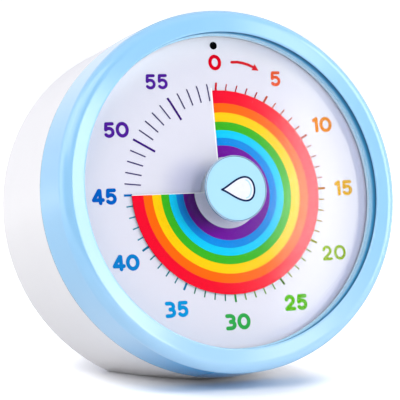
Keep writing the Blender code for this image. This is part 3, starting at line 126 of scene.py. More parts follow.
class Reading:
    """A number that changes over a surface. An expression on readings adds its own Math nodes."""

    def __init__(self, bench, socket):
        self.bench = bench
        self.socket = socket

    def _math(self, operation, *values):
        inputs = dict(enumerate(values))
        return self.bench.read("ShaderNodeMath", {"operation": operation}, inputs)

    def __add__(self, other):
        return self._math("ADD", self, other)

    def __rsub__(self, other):
        return self._math("SUBTRACT", other, self)

    def __mul__(self, other):
        return self._math("MULTIPLY", self, other)

    def __truediv__(self, other):
        return self._math("DIVIDE", self, other)

    def __pow__(self, other):
        return self._math("POWER", self, other)

    def __gt__(self, other):
        return self._math("GREATER_THAN", self, other)

    def __lt__(self, other):
        return self._math("LESS_THAN", self, other)

    def heading(self, other):
        """The angle of a direction whose parts are this reading and another."""
        return self._math("ARCTAN2", self, other)

    def fraction(self):
        return self._math("FRACT", self)

    def step(self, low, high):
        """0 below low, 1 above high and smooth between."""
        return self.bench.read(
            "ShaderNodeMapRange",
            {"interpolation_type": "SMOOTHSTEP"},
            {"Value": self, "From Min": low, "From Max": high},
        )


class Bench:
    """Adds nodes to a tree."""

    def __init__(self, tree):
        self.tree = tree

    def node(self, kind, settings=None, inputs=None):
        made = self.tree.nodes.new(kind)
        for name, value in (settings or {}).items():
            if name == "stops":
                self._set_stops(made.color_ramp, value)
            elif name == "ramp_interpolation":
                made.color_ramp.interpolation = value
            else:
                setattr(made, name, value)
        for name, value in (inputs or {}).items():
            self.feed(made.inputs[name], value)
        return made

    def _set_stops(self, ramp, stops):
        while len(ramp.elements) < len(stops):
            ramp.elements.new(1.0)
        for element, (position, shade) in zip(ramp.elements, stops):
            element.position = position
            element.color = shade

    def feed(self, socket, value):
        if isinstance(value, Reading):
            self.tree.links.new(value.socket, socket)
        else:
            socket.default_value = value

    def read(self, kind, settings=None, inputs=None, output=0):
        return Reading(self, self.node(kind, settings, inputs).outputs[output])

    def parts(self, place):
        split = self.node("ShaderNodeSeparateXYZ", inputs={"Vector": place})
        return [Reading(self, split.outputs[i]) for i in range(3)]

    def mix(self, share, first, second):
        inputs = {"Factor": share, 6: first, 7: second}
        return self.read("ShaderNodeMix", {"data_type": "RGBA"}, inputs, 2)

    def ramp(self, share, stops, interpolation="LINEAR"):
        settings = {"stops": stops, "ramp_interpolation": interpolation}
        return self.read("ShaderNodeValToRGB", settings, {"Fac": share})


class Finish(Bench):
    """One material, made of a Principled shader and what feeds it. Lengths are in metres."""

    def __init__(self, name, **settings):
        self.material = bpy.data.materials.new(name)
        self.material.use_nodes = True
        super().__init__(self.material.node_tree)
        self.shader = self.tree.nodes["Principled BSDF"]
        for socket, value in settings.items():
            self.set(socket.replace("_", " ").title().replace("Ior", "IOR"), value)

    def set(self, socket, value):
        self.feed(self.shader.inputs[socket], value)

    def place(self):
        return self.read("ShaderNodeTexCoord", output="Object")

    def dial_place(self):
        """Where a point of a CAD piece lies in the dial's frame."""
        inputs = {"Vector": self.place(), "Location": DIAL_MIDDLE, "Rotation": DIAL.to_euler()}
        return self.read("ShaderNodeMapping", {"vector_type": "TEXTURE"}, inputs)

    def radius(self, place):
        """Distance from the dial's axis, in units of the ring of minute marks."""
        inputs = {0: place, 1: (1, 1, 0)}
        flat = self.read("ShaderNodeVectorMath", {"operation": "MULTIPLY"}, inputs)
        length = self.read("ShaderNodeVectorMath", {"operation": "LENGTH"}, {0: flat}, "Value")
        return length / (RING * MM)

    def clock_share(self, place, offset=0.0):
        """How far round the clock a point is, from 0 to 1."""
        across, up, _ = self.parts(place)
        return (across.heading(up) / (2 * math.pi) + (1 + offset)).fraction()

    def noise(self, place, size, detail=2.0):
        """Noise from 0 to 1 with patches of this size."""
        inputs = {"Vector": place, "Scale": 1 / size, "Detail": detail}
        return self.read("ShaderNodeTexNoise", inputs=inputs)

    def patch(self, place, middle, inner, outer):
        """1 round a point, and 0 beyond the outer radius."""
        inputs = {0: place, 1: middle}
        distance = self.read("ShaderNodeVectorMath", {"operation": "DISTANCE"}, inputs, "Value")
        return 1 - distance.step(inner, outer)

    def wave(self, place):
        """Shades a thin sheet as if it lay flat on the dial, but for a faint wave."""
        inputs = {"Vector": place, "Scale": 1 / WAVE_SIZE, "Detail": 1.0}
        noise = self.read("ShaderNodeTexNoise", inputs=inputs, output="Color")
        depth = Vector((WAVE, WAVE, WAVE))
        inputs = {0: noise, 1: depth, 2: OUTWARD - depth / 2}
        leaning = self.read("ShaderNodeVectorMath", {"operation": "MULTIPLY_ADD"}, inputs)
        normal = self.read("ShaderNodeVectorMath", {"operation": "NORMALIZE"}, {0: leaning})
        self.set("Normal", normal)

    def bump(self, height, depth, strength=1.0):
        inputs = {"Height": height, "Distance": depth, "Strength": strength}
        self.set("Normal", self.read("ShaderNodeBump", inputs=inputs))


# Colours

def colour(red, green, blue):
    """A colour as it shows on a screen, from 0 to 255, as Blender's linear values."""
    def linear(part):
        part /= 255
        return part / 12.92 if part <= 0.04045 else ((part + 0.055) / 1.055) ** 2.4

    return (linear(red), linear(green), linear(blue), 1.0)


def tint(base, factor):
    return (*(min(1.0, part * factor) for part in base[:3]), 1.0)


WHITE = (1, 1, 1, 1)
BLACK = (0, 0, 0, 1)
# The ring's colours after its blue are painted light and shade: light low down and on the skirt's
# top, shade under the skirt, and a contact shadow.
BEZEL_BLUE = colour(142, 195, 230)
BEZEL_UNDERSIDE_PAINTED_SHADE = colour(8, 152, 212)
BEZEL_LOW_PAINTED_LIGHT = colour(166, 206, 234)
BEZEL_TOP_PAINTED_LIGHT = colour(186, 220, 238)
BEZEL_CONTACT_SHADOW = colour(70, 84, 92)
# Painted shade down the ring's inner wall, deepening towards the lip, with a painted glare band low
# on the wall and a dark line at its foot.
BEZEL_WALL_LIGHT_AND_SHADE_STOPS = (
    (0.08, colour(60, 112, 138)),
    (0.14, colour(213, 240, 252)),
    (0.40, colour(186, 232, 252)),
    (0.60, colour(56, 152, 198)),
    (0.76, colour(0, 124, 168)),
    (0.90, colour(0, 86, 126)),
)
DRUM_WHITE = colour(228, 226, 225)
DIAL_WHITE = colour(219, 219, 229)
DIAL_RIM_PAINTED_SHADOW = colour(202, 203, 224)
KNOB_PAINTED_SHADOW = colour(172, 176, 212)
FILM_WHITE = colour(206, 206, 222)
KNOB_BLUE = colour(154, 206, 230)
KNOB_SIDE_PAINTED_SHADE = colour(104, 150, 176)
KNOB_RIM_PAINTED_HIGHLIGHT = colour(196, 216, 236)
KNOB_GROOVE_PAINTED_SHADE = colour(60, 84, 122)
NAVY = colour(18, 36, 78)
DROP_WHITE = colour(230, 232, 244)
DROP_BLUE = colour(176, 218, 240)
ARROW_RED = colour(212, 34, 44)
DOT_BLACK = colour(4, 4, 6)
CELL_SLEEVE = colour(40, 42, 46)
CELL_COPPER = colour(196, 128, 62)
CELL_STEEL = colour(190, 192, 196)
BANDS = [
    (0.325, colour(116, 8, 160)),
    (0.434, colour(0, 142, 232)),
    (0.504, colour(0, 206, 250)),
    (0.576, colour(56, 182, 28)),
    (0.656, colour(255, 208, 0)),
    (0.739, colour(255, 104, 0)),
    (0.827, colour(246, 0, 42)),
]
NUMBER_COLOURS = {
    0: colour(214, 0, 28),
    5: colour(230, 92, 52),
    10: colour(238, 140, 22),
    15: colour(232, 176, 28),
    20: colour(150, 186, 34),
    25: colour(90, 184, 14),
    30: colour(52, 166, 76),
    35: colour(14, 146, 210),
    40: colour(14, 124, 196),
    45: colour(0, 94, 186),
    50: colour(80, 32, 148),
    55: colour(80, 32, 148),
}
MARK_COLOURS = {
    0: (colour(205, 16, 36), colour(176, 40, 52)),
    5: (colour(196, 92, 72), colour(204, 116, 100)),
    10: (colour(196, 112, 96), colour(206, 150, 142)),
    15: (colour(200, 130, 46), colour(186, 158, 80)),
    20: (colour(162, 168, 66), colour(150, 162, 72)),
    25: (colour(78, 124, 38), colour(106, 152, 60)),
    30: (colour(48, 138, 66), colour(38, 112, 92)),
    35: (colour(14, 112, 154), colour(30, 116, 132)),
    40: (colour(14, 110, 148), colour(38, 132, 156)),
    45: (colour(14, 104, 182), colour(70, 60, 112)),
    50: (colour(62, 20, 122), colour(62, 54, 100)),
    55: (colour(58, 14, 112), colour(62, 54, 100)),
}


def span_stops(colours):
    """Ramp stops for twelve equal spans round the clock."""
    return [(i / len(colours), shade) for i, shade in enumerate(colours)]


# Finishes

def moulded_plastic(name, base, roughness=0.3, **settings):
    """Moulded plastic: faintly cloudy, finely grained and rubbed a little shinier in patches."""
    finish = Finish(name, **settings)
    place = finish.place()
    clouds = finish.noise(place, 0.022, 3.0)
    finish.set("Base Color", finish.mix(clouds, tint(base, 0.97), tint(base, 1.02)))
    finish.set("Roughness", finish.noise(place, 0.009, 3.0) * 0.1 + (roughness - 0.05))
    finish.bump(finish.noise(place, 0.0007), 0.00002, 0.4)
    return finish


def bezel_finish():
    """Glossy blue plastic with painted light and shade: shade deepening up the wall towards the
    lip, light over the lower part and the skirt's top, shade under the skirt and a contact shadow
    at its back edge.
    """
    finish = Finish("bezel_blue", specular_ior_level=0.65)
    place = finish.dial_place()
    radius = finish.radius(place)
    _, up, height = finish.parts(place)
    clouds = finish.noise(place, 0.022, 3.0)
    shell = finish.mix(clouds, tint(BEZEL_BLUE, 0.97), tint(BEZEL_BLUE, 1.02))
    depth = height / MM
    below = up * (-1 / MM)
    wall = (radius < LIP_RADIUS / RING) * (depth < WALL_FRONT)
    # Painted light and shade up the inner wall, by height over the dial.
    wall_painted_light_and_shade = finish.ramp(depth / WALL_FRONT, BEZEL_WALL_LIGHT_AND_SHADE_STOPS)
    skirt = (radius > SKIRT_RADIUS / RING) * (depth < SKIRT_FRONT)
    # Painted light: the ring is lighter over its lower part.
    shell = finish.mix(below.step(*LOW_SPAN) * 0.7, shell, BEZEL_LOW_PAINTED_LIGHT)
    # Painted shade: the skirt is deeper blue where it faces down.
    shell = finish.mix(skirt * below.step(*UNDERSIDE_SPAN), shell, BEZEL_UNDERSIDE_PAINTED_SHADE)
    # Painted light: the skirt is lighter over its top.
    shell = finish.mix(skirt * (up / MM).step(*TOP_SPAN), shell, BEZEL_TOP_PAINTED_LIGHT)
    # Painted contact shadow: a dark line along the skirt's back edge.
    shell = finish.mix(skirt * (depth < CONTACT_SHADOW_HEIGHT), shell, BEZEL_CONTACT_SHADOW)
    finish.set("Base Color", finish.mix(wall, shell, wall_painted_light_and_shade))
    rubbed = finish.noise(place, 0.009, 3.0) * 0.06 + 0.11
    finish.set("Roughness", rubbed + wall * (depth / WALL_FRONT).step(0.4, 0.8) * 0.75)
    finish.bump(finish.noise(place, 0.0009), 0.00002, 0.25)
    return finish


def clear_finish():
    """Clear moulded plastic: nothing but its gloss, which grows towards grazing angles."""
    finish = Finish("lens_clear", base_color=colour(246, 248, 255), metallic=1.0)
    slant = finish.read("ShaderNodeLayerWeight", inputs={"Blend": 0.5}, output="Facing")
    finish.set("Alpha", slant ** 5 * (1 - HEAD_ON_GLOSS) + HEAD_ON_GLOSS)
    finish.set("Roughness", finish.noise(finish.place(), 0.02, 1.0) * 0.02 + 0.08)
    return finish


def dial_finish():
    """White card, with a painted highlight along the slit's cut edge, painted shadow under the wall
    on the right and beside the knob, and painted light under the lip at the top.
    """
    finish = Finish("dial_white", specular_ior_level=0.5)
    place = finish.dial_place()
    radius = finish.radius(place)
    across, up, _ = finish.parts(place)
    card = finish.mix(finish.noise(place, 0.03), tint(DIAL_WHITE, 0.985), tint(DIAL_WHITE, 1.01))
    # Painted highlight: a white strip along the slit's cut edge.
    past_slit = across / MM + SLIT_EDGE
    edge = (past_slit < 0.0) * (past_slit > -SLIT_MARGIN) * (up > 0.0) * (radius < SLIT_END)
    # Painted shadow: the wall's shadow on the card's right-hand rim.
    rim = radius.step(*RIM_SHADE) * across.step(*RIM_SHADE_ACROSS)
    card = finish.mix(rim, card, DIAL_RIM_PAINTED_SHADOW)
    # Painted light: the card is whiter near the top rim, under the lip.
    lip_painted_light = radius.step(*TOP_LIGHT) * up.step(*TOP_LIGHT_UP)
    card = finish.mix(lip_painted_light * 0.45, card, WHITE)
    # Painted shadow: the knob's shadow on the card to its left.
    knob_painted_shadow_on_card = finish.patch(place, DIAL_SHADE_PLACE, *KNOB_SHADE_REACH)
    card = finish.mix(knob_painted_shadow_on_card * 0.5, card, KNOB_PAINTED_SHADOW)
    finish.set("Base Color", finish.mix(edge, card, WHITE))
    finish.set("Roughness", finish.noise(place, 0.0006, 3.0) * 0.03 + 0.08)
    finish.wave(place)
    return finish


def film_finish():
    """Seven printed rings on white film, which is bare along its leading edge, with a painted
    shadow of the knob on the rings.
    """
    finish = Finish("film_print", specular_ior_level=0.8)
    place = finish.dial_place()
    across, up, _ = finish.parts(place)
    inputs = {0: place, 1: (0, FILM_PRINT_DROP * MM, 0)}
    radius = finish.radius(finish.read("ShaderNodeVectorMath", {"operation": "ADD"}, inputs))
    rings = finish.ramp(radius, [(0.0, FILM_WHITE), *BANDS], "CONSTANT")
    printed = radius > BANDS[0][0]
    # Painted shadow: the knob's shadow on the printed rings to its lower left.
    knob_painted_shadow_on_film = finish.patch(place, FILM_SHADE_PLACE, *KNOB_SHADE_REACH) * printed
    rings = finish.mix(knob_painted_shadow_on_film * 0.7, rings, BLACK)
    grain = finish.noise(place, 0.0009)
    inked = finish.mix(grain * 0.12, rings, BLACK)
    edge = (up < 2 * FILM_MARGIN * MM) + (1 - printed) * 0.8
    bare = (across < FILM_EDGE_FROM * MM) * (up > -FILM_MARGIN * MM) * edge
    finish.set("Base Color", finish.mix(bare, inked, WHITE))
    finish.set("Roughness", grain * 0.03 + 0.08)
    finish.wave(place)
    return finish


def ink_finish(name, stops, offset=0.0):
    """Screen-printed ink, a little uneven, whose colour depends on where it is on the clock."""
    finish = Finish(name, specular_ior_level=0.0)
    place = finish.dial_place()
    base = finish.ramp(finish.clock_share(place, offset), stops, "CONSTANT")
    mottle = finish.noise(place, 0.0008, 3.0)
    finish.set("Base Color", finish.mix(mottle * 0.12, base, BLACK))
    finish.set("Roughness", mottle * 0.1 + 0.4)
    return finish


def knob_finish():
    """The knob's shell: a painted highlight on the rim round its face, and painted shade in the
    groove and down the side.
    """
    finish = Finish("knob_blue", specular_ior_level=0.5)
    place = finish.dial_place()
    _, _, height = finish.parts(place)
    clouds = finish.noise(place, 0.012, 3.0)
    # Painted shade down the side, a painted highlight on the rim and painted shade in the groove.
    side = finish.mix(clouds, tint(KNOB_SIDE_PAINTED_SHADE, 0.95), tint(KNOB_SIDE_PAINTED_SHADE, 1.04))
    rim = (height / MM).step(*KNOB_RIM_SPAN)
    groove = finish.radius(place) < KNOB_GROOVE_EDGE / RING
    shell = finish.mix(rim, side, KNOB_RIM_PAINTED_HIGHLIGHT)
    finish.set("Base Color", finish.mix(rim * groove, shell, KNOB_GROOVE_PAINTED_SHADE))
    finish.set("Roughness", finish.noise(place, 0.009, 3.0) * 0.08 + 0.2)
    finish.bump(finish.noise(place, 0.0007), 0.00002, 0.3)
    return finish


def plain_metal(name, base, roughness=0.3):
    """Bright metal, drawn or rolled: faintly streaked."""
    finish = Finish(name, metallic=1.0)
    place = finish.place()
    streaks = finish.noise(place, 0.0012, 3.0)
    finish.set("Base Color", finish.mix(streaks, tint(base, 0.88), tint(base, 1.05)))
    finish.set("Roughness", streaks * 0.15 + roughness)
    finish.bump(streaks, 0.00001, 0.5)
    return finish


def board_finish():
    """Green solder mask over lighter tracks."""
    finish = Finish("solder_mask")
    place = finish.dial_place()
    inputs = {"Vector": place, "Scale": 120.0, "Mortar Size": 0.03}
    tracks = finish.read("ShaderNodeTexBrick", inputs=inputs, output="Fac")
    finish.set("Base Color", finish.mix(tracks, colour(18, 92, 48), colour(40, 124, 70)))
    finish.set("Roughness", finish.noise(place, 0.002) * 0.1 + 0.3)
    finish.bump(tracks, 0.00004, 0.6)
    return finish


def cell_finish():
    """The cell's printed wrap: a dark sleeve with a copper band at its plus end, and no words."""
    finish = Finish("cell_wrap", metallic=0.6)
    place = finish.place()
    along, _, _ = finish.parts(place)
    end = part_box("battery")[1].x
    wrap = finish.mix(along > end - CELL_BAND, CELL_SLEEVE, CELL_COPPER)
    finish.set("Base Color", finish.mix(along > end - CELL_CAP, wrap, CELL_STEEL))
    finish.set("Roughness", finish.noise(place, 0.004) * 0.1 + 0.28)
    finish.bump(finish.noise(place, 0.0015), 0.00002, 0.3)
    return finish


# Pieces of the CAD model that keep their shape

def smoothing():
    """A geometry group that welds a mesh and shades it round, but for its real edges."""
    group = bpy.data.node_groups.new("smooth_moulding", "GeometryNodeTree")
    for way in ("INPUT", "OUTPUT"):
        group.interface.new_socket("Geometry", in_out=way, socket_type="NodeSocketGeometry")
    bench = Bench(group)
    mesh = bench.read("NodeGroupInput")
    inputs = {"Geometry": mesh, "Distance": WELD}
    whole = bench.read("GeometryNodeMergeByDistance", inputs=inputs)
    settings = {"data_type": "FLOAT", "operation": "GREATER_THAN"}
    inputs = {0: bench.read("GeometryNodeInputMeshEdgeAngle"), 1: math.radians(CAD_SHARP)}
    edge = bench.read("FunctionNodeCompare", settings, inputs)
    inputs = {"Mesh": whole, "Remove Custom": True, "Edge Sharpness": edge, "Face Sharpness": False}
    smooth = bench.read("GeometryNodeSetMeshNormal", {"mode": "SHARPNESS"}, inputs)
    bench.node("NodeGroupOutput", inputs={"Geometry": smooth})
    return group


def dress_cad_pieces():
    """Gives each CAD piece the finish of the first name below that is in its own name."""
    nylon = moulded_plastic("nylon", colour(228, 226, 212), 0.5)
    # Painted shade: the hub's nylon is darkened to the shade it sits in behind the dial.
    hub_painted_shade = moulded_plastic("hub_painted_shade", colour(172, 170, 196), 0.5)
    white = moulded_plastic("drum_white", DRUM_WHITE, 0.34)
    grey = moulded_plastic("grey_moulding", colour(120, 122, 128), 0.45)
    black = moulded_plastic("black_moulding", colour(30, 30, 32), 0.45)
    steel = plain_metal("bright_steel", colour(190, 192, 196), 0.28)
    soft_iron = plain_metal("lamination_iron", colour(150, 150, 152), 0.4)
    brass = plain_metal("plated_brass", colour(214, 206, 184), 0.25)
    pale_wire = moulded_plastic("wire_white", colour(226, 226, 226), 0.45)
    blue = bezel_finish()
    by_name = {
        "bezel": blue,
        "knob": blue,
        "lens": clear_finish(),
        "dial_carrier": white,
        "dial": dial_finish(),
        "timer_film": film_finish(),
        "film_hub": hub_painted_shade,
        "alarm_cam": nylon,
        "wheel": nylon,
        "rear_case": white,
        "battery_door": white,
        "volume_slider": grey,
        "switch_body": grey,
        "movement_screw": steel,
        "movement": grey,
        "buzzer": black,
        "quartz_chip": black,
        "main_board": board_finish(),
        "screw": steel,
        "arbor": steel,
        "clutch": steel,
        "crystal": steel,
        "rotor": plain_metal("magnet_grey", colour(90, 90, 94), 0.4),
        "stator": soft_iron,
        "coil_core": soft_iron,
        "coil": plain_metal("copper_wire", colour(196, 104, 58), 0.35),
        "alarm_leaf": brass,
        "battery_plus": brass,
        "battery_spring": brass,
        "battery_lead_plus": moulded_plastic("wire_red", colour(200, 30, 34), 0.45),
        "battery_lead_minus": moulded_plastic("wire_black", colour(26, 26, 28), 0.45),
        "motor_lead": pale_wire,
        "battery": cell_finish(),
    }
    group = smoothing()
    for name, node in frame["nodes"].items():
        finish = next(finish for part, finish in by_name.items() if part in name)
        for slot in node.material_slots:
            slot.link = "OBJECT"
            slot.material = finish.material
        round_it = node.modifiers.new("smooth", "NODES")
        round_it.node_group = group
        even = node.modifiers.new("even", "WEIGHTED_NORMAL")
        even.keep_sharp = True


# Pieces made anew

def finished(name, made, finish, body, replaces=None):
    """A piece from a bmesh laid out in the dial's frame, riding on its body."""
    data = bpy.data.meshes.new(name)
    bmesh.ops.recalc_face_normals(made, faces=made.faces)
    made.transform(DIAL)
    made.to_mesh(data)
    made.free()
    data.materials.append(finish.material)
    piece = bpy.data.objects.new(name, data)
    bpy.context.scene.collection.objects.link(piece)
    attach(piece, body)
    if replaces:
        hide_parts(replaces)
    return piece


def corner_round(centre, radius, start, end, steps=6):
    """Points round a corner, with angles in degrees from straight out, towards the front."""
    turns = [math.radians(start + (end - start) * i / steps) for i in range(steps + 1)]
    return [(centre[0] + radius * math.cos(t), centre[1] + radius * math.sin(t)) for t in turns]


# Lines longer than this hold their ends flat with a point this far inside them, in millimetres.
LONG_LINE = 0.6
HELD_INSET = 0.06


def held_ends(profile):
    """Adds a point just inside each end of a long line, which keeps it flat beside a round."""
    held = []
    for first, second in zip(profile, profile[1:] + profile[:1]):
        a, b = Vector(first), Vector(second)
        held.append(first)
        if (b - a).length > LONG_LINE:
            inset = (b - a).normalized() * HELD_INSET
            held += [tuple(a + inset), tuple(b - inset)]
    return held


def turned(name, profile, finish, body, replaces, steps=192):
    """A round piece from a closed profile of radius and height, in millimetres."""
    made = bmesh.new()
    turns = [2 * math.pi * i / steps for i in range(steps)]
    rings = []
    for radius, height in held_ends(profile):
        if radius < 1e-6:
            rings.append([made.verts.new((0, 0, height * MM))] * steps)
        else:
            rings.append([
                made.verts.new((radius * math.cos(t) * MM, radius * math.sin(t) * MM, height * MM))
                for t in turns
            ])
    for first, second in zip(rings, rings[1:] + rings[:1]):
        for i in range(steps):
            j = (i + 1) % steps
            corners = list(dict.fromkeys((first[i], first[j], second[j], second[i])))
            if len(corners) > 2:
                made.faces.new(corners)
    piece = finished(name, made, finish, body, replaces)
    piece.data.shade_smooth()
    piece.data.set_sharp_from_angle(angle=math.radians(TURNED_SHARP))
    return piece


def build_bezel():
    """The ring: its inner lip, its sloped band and rounded edge, and its skirt with its inside."""
    profile = [
        *corner_round((LIP_RADIUS, 5.18), LIP_ROUND, 180, 90 - BAND_SLOPE),
        *corner_round(EDGE_CENTRE, EDGE_ROUND, 90 - BAND_SLOPE, 0, 12),
        (50.0, -11.25),
        (49.85, -11.4),
        (47.7, -11.4),
        (47.7, 1.6),
        (45.6, 1.6),
        (45.6, 0.3),
        (43.0, 0.3),
        (43.0, 1.8),
        (43.5, 1.8),
    ]
    turned("bezel_ring", profile, bezel_finish(), "case", "bezel")


def build_knob():
    """The knob's shell with its stem, and the printed face that lies in it."""
    profile = [
        (0, 5.75),
        (8.8, 5.75),
        (8.8, 6.5),
        *corner_round((8.95, 6.47), 0.13, 150, 0, 4),
        *corner_round((8.88, 5.8), 0.2, 0, -70, 4),
        (5.6, 4.5),
        (5.5, 4.4),
        (5.5, 1.7),
        (1.6, 1.7),
        (1.6, 4.6),
        (0, 4.6),
    ]
    turned("knob_shell", profile, knob_finish(), "knob", "knob_cap", 128)
    face = moulded_plastic("knob_face_blue", KNOB_BLUE, 0.4)
    profile = [
        (0, KNOB_FACE),
        (8.68, KNOB_FACE),
        (8.76, KNOB_FACE - 0.08),
        (8.76, 6.05),
        (0, 6.05),
    ]
    turned("knob_face", profile, face, "knob", "knob_disc", 128)


# Print

def dial_height(x, y):
    """Height of the dial's surface at a place on it, in millimetres."""
    radius = math.hypot(x, y)
    if radius >= FLAT_RADIUS:
        return 0.0
    angle = math.atan2(x, y)
    if angle < -math.asin(min(1.0, SLIT_OFFSET / radius)):
        angle += 2 * math.pi
    well = WELL_START + WELL_PITCH * angle / (2 * math.pi)
    return well * min(1.0, (FLAT_RADIUS - radius) / (FLAT_RADIUS - WELL_RADIUS))


def knob_height(x, y):
    """Height of the knob's face, which is the same all over."""
    return KNOB_FACE


class Ink:
    """Thin plates of ink on one surface."""

    def __init__(self, surface):
        self.surface = surface
        self.made = bmesh.new()
        self.lift = INK_LIFT

    def _points(self, path, extra):
        return [
            self.made.verts.new((x * MM, y * MM, (self.surface(x, y) + self.lift + extra) * MM))
            for x, y in path
        ]

    def _wall(self, top, bottom):
        for i in range(len(top)):
            j = (i + 1) % len(top)
            self.made.faces.new((top[i], top[j], bottom[j], bottom[i]))

    def patch(self, outline):
        top, bottom = self._points(outline, INK_THICKNESS), self._points(outline, 0)
        self.made.faces.new(top)
        self.made.faces.new(bottom)
        self._wall(top, bottom)

    def ladder(self, left, right):
        """A strip between two lines, which follows the surface under it."""
        outline = left + right[::-1]
        top, bottom = self._points(outline, INK_THICKNESS), self._points(outline, 0)
        for sheet in (top, bottom):
            for i in range(len(left) - 1):
                self.made.faces.new((sheet[i], sheet[i + 1], sheet[-2 - i], sheet[-1 - i]))
        self._wall(top, bottom)

    def loop(self, path, width):
        """A closed line of one width."""
        outer, inner = sides_of(path, width, closed=True)
        levels = [
            self._points(ring, extra) for ring in (outer, inner) for extra in (INK_THICKNESS, 0)
        ]
        outer_top, outer_bottom, inner_top, inner_bottom = levels
        self._wall(outer_top, outer_bottom)
        self._wall(inner_top, inner_bottom)
        self._wall(outer_top, inner_top)
        self._wall(outer_bottom, inner_bottom)

    def stroke(self, path, width):
        """A line of one width with round ends. Each one lies a little over the one before."""
        left, right = sides_of(path, width)
        ends = [Vector(path[0]), Vector(path[-1])]
        towards = [ends[0] - Vector(path[1]), ends[1] - Vector(path[-2])]
        outline = left + round_end(ends[1], towards[1], width)
        outline += right[::-1] + round_end(ends[0], towards[0], width)
        self.patch(outline)
        self.lift += INK_STEP


def sides_of(path, width, closed=False):
    """The lines on the left and the right of a path."""
    points = [Vector(point) for point in path]
    left, right = [], []
    for i, point in enumerate(points):
        before = points[i - 1] if i or closed else point
        after = points[(i + 1) % len(points)] if i < len(points) - 1 or closed else point
        along = (after - before).normalized()
        side = Vector((-along.y, along.x)) * width / 2
        left.append(tuple(point + side))
        right.append(tuple(point - side))
    return left, right


def round_end(point, towards, width, steps=7):
    """Points round the end of a stroke, between its two sides."""
    along = towards.normalized()
    left = Vector((-along.y, along.x))
    turns = [math.pi * i / steps for i in range(1, steps)]
    return [tuple(point + (left * math.cos(t) + along * math.sin(t)) * width / 2) for t in turns]


def bend(centre, radii, start, end, steps=14):
    """Points along part of an ellipse, with angles in degrees from the right, anticlockwise."""
    turns = [math.radians(start + (end - start) * i / steps) for i in range(steps + 1)]
    return [(centre[0] + radii[0] * math.cos(t), centre[1] + radii[1] * math.sin(t)) for t in turns]


# Each digit is drawn one cap height tall: its width, then its strokes. The 0 is one closed loop.
DIGITS = {
    "0": (0.88, []),
    "1": (0.42, [[(0.10, 0.78), (0.30, 0.90)], [(0.30, 0.90), (0.30, 0.10)]]),
    "2": (
        0.76,
        [
            [*bend((0.37, 0.65), (0.245, 0.25), 165, -35), (0.12, 0.10)],
            [(0.12, 0.10), (0.66, 0.10)],
        ],
    ),
    "3": (
        0.74,
        [
            [(0.12, 0.9), *bend((0.34, 0.70), (0.235, 0.2), 90, -90, 12)],
            [*bend((0.34, 0.31), (0.275, 0.21), 90, -90), (0.11, 0.1)],
        ],
    ),
    "4": (
        0.82,
        [[(0.50, 0.90), (0.10, 0.30)], [(0.10, 0.30), (0.74, 0.30)], [(0.56, 0.90), (0.56, 0.10)]],
    ),
    "5": (
        0.74,
        [
            [(0.62, 0.90), (0.19, 0.90)],
            [(0.19, 0.90), (0.15, 0.545)],
            bend((0.36, 0.355), (0.275, 0.255), 138, -142),
        ],
    ),
}
ZERO = bend((0.44, 0.5), (0.34, 0.4), 0, 350, 35)
DIGIT_GAP = 0.11
CAP_HEIGHT = 0.14 * RING
NUMBER_RADIUS = 1.2 * RING
NUMBER_DROP = 0.005 * RING

# The print isn't quite even: the numbers whose strokes or places differ from the rest.
STROKE = 0.23
STROKES = {
    0: 0.24,
    5: 0.21,
    20: 0.19,
    25: 0.26,
    30: 0.26,
    35: 0.25,
    40: 0.26,
    45: 0.25,
    55: 0.205,
}
NUMBER_MOVES = {
    30: (0, 0.5),
    35: (0.22, 0),
    40: (-0.15, 0.05),
    50: (0.25, 0),
    55: (0.05, -0.25),
}


def print_numbers():
    """The numbers from 0 to 55, upright round the dial."""
    ink = Ink(dial_height)
    for minute in NUMBER_COLOURS:
        text = str(minute)
        width = sum(DIGITS[digit][0] for digit in text) + DIGIT_GAP * (len(text) - 1)
        angle = math.radians(minute * 6)
        move, rise = NUMBER_MOVES.get(minute, (0, 0))
        stroke = STROKES.get(minute, STROKE) * CAP_HEIGHT
        left = NUMBER_RADIUS * math.sin(angle) - width * CAP_HEIGHT / 2 + move
        low = NUMBER_RADIUS * math.cos(angle) - CAP_HEIGHT / 2 - NUMBER_DROP + rise
        ink.lift = INK_LIFT
        for digit in text:
            def placed(path):
                return [(left + x * CAP_HEIGHT, low + y * CAP_HEIGHT) for x, y in path]

            advance, strokes = DIGITS[digit]
            for path in strokes:
                ink.stroke(placed(path), stroke)
            if digit == "0":
                ink.loop(placed(ZERO), stroke)
            left += (advance + DIGIT_GAP) * CAP_HEIGHT
    finish = ink_finish("number_inks", span_stops(NUMBER_COLOURS.values()), 1 / 24)
    finished("numbers", ink.made, finish, "case")


# The marks' inner end, outer end and width, in units of their ring, and their minutes.
LONG_MARKS = (0.774, 1.010, 0.020, range(0, 60, 5))
SHORT_MARKS = (0.841, 1.000, 0.0125, [minute for minute in range(60) if minute % 5])
# The film's leading edge lies on the mark at 45, and only its outer end is printed.
EDGE_MINUTE = 45
EDGE_MARK_START = 0.93


def print_minute_marks():
    """Long marks every five minutes and short ones between, in the colours of their place."""
    for kind, shade, (inner, outer, width, minutes) in (
        ("five_minute_marks", 0, LONG_MARKS),
        ("minute_marks", 1, SHORT_MARKS),
    ):
        ink = Ink(dial_height)
        for minute in minutes:
            angle = math.radians(minute * 6)
            out = Vector((math.sin(angle), math.cos(angle)))
            side = Vector((out.y, -out.x)) * width * RING / 2
            start = (EDGE_MARK_START if minute == EDGE_MINUTE else inner) * RING
            steps = [start, (start + WELL_RADIUS) / 2, WELL_RADIUS, outer * RING]
            left, right = ([tuple(out * r + way * side) for r in steps] for way in (-1, 1))
            ink.ladder(left, right)
        shades = [pair[shade] for pair in MARK_COLOURS.values()]
        finish = ink_finish(kind + "_ink", span_stops(shades), 0.5 / 60)
        finished(kind, ink.made, finish, "case")


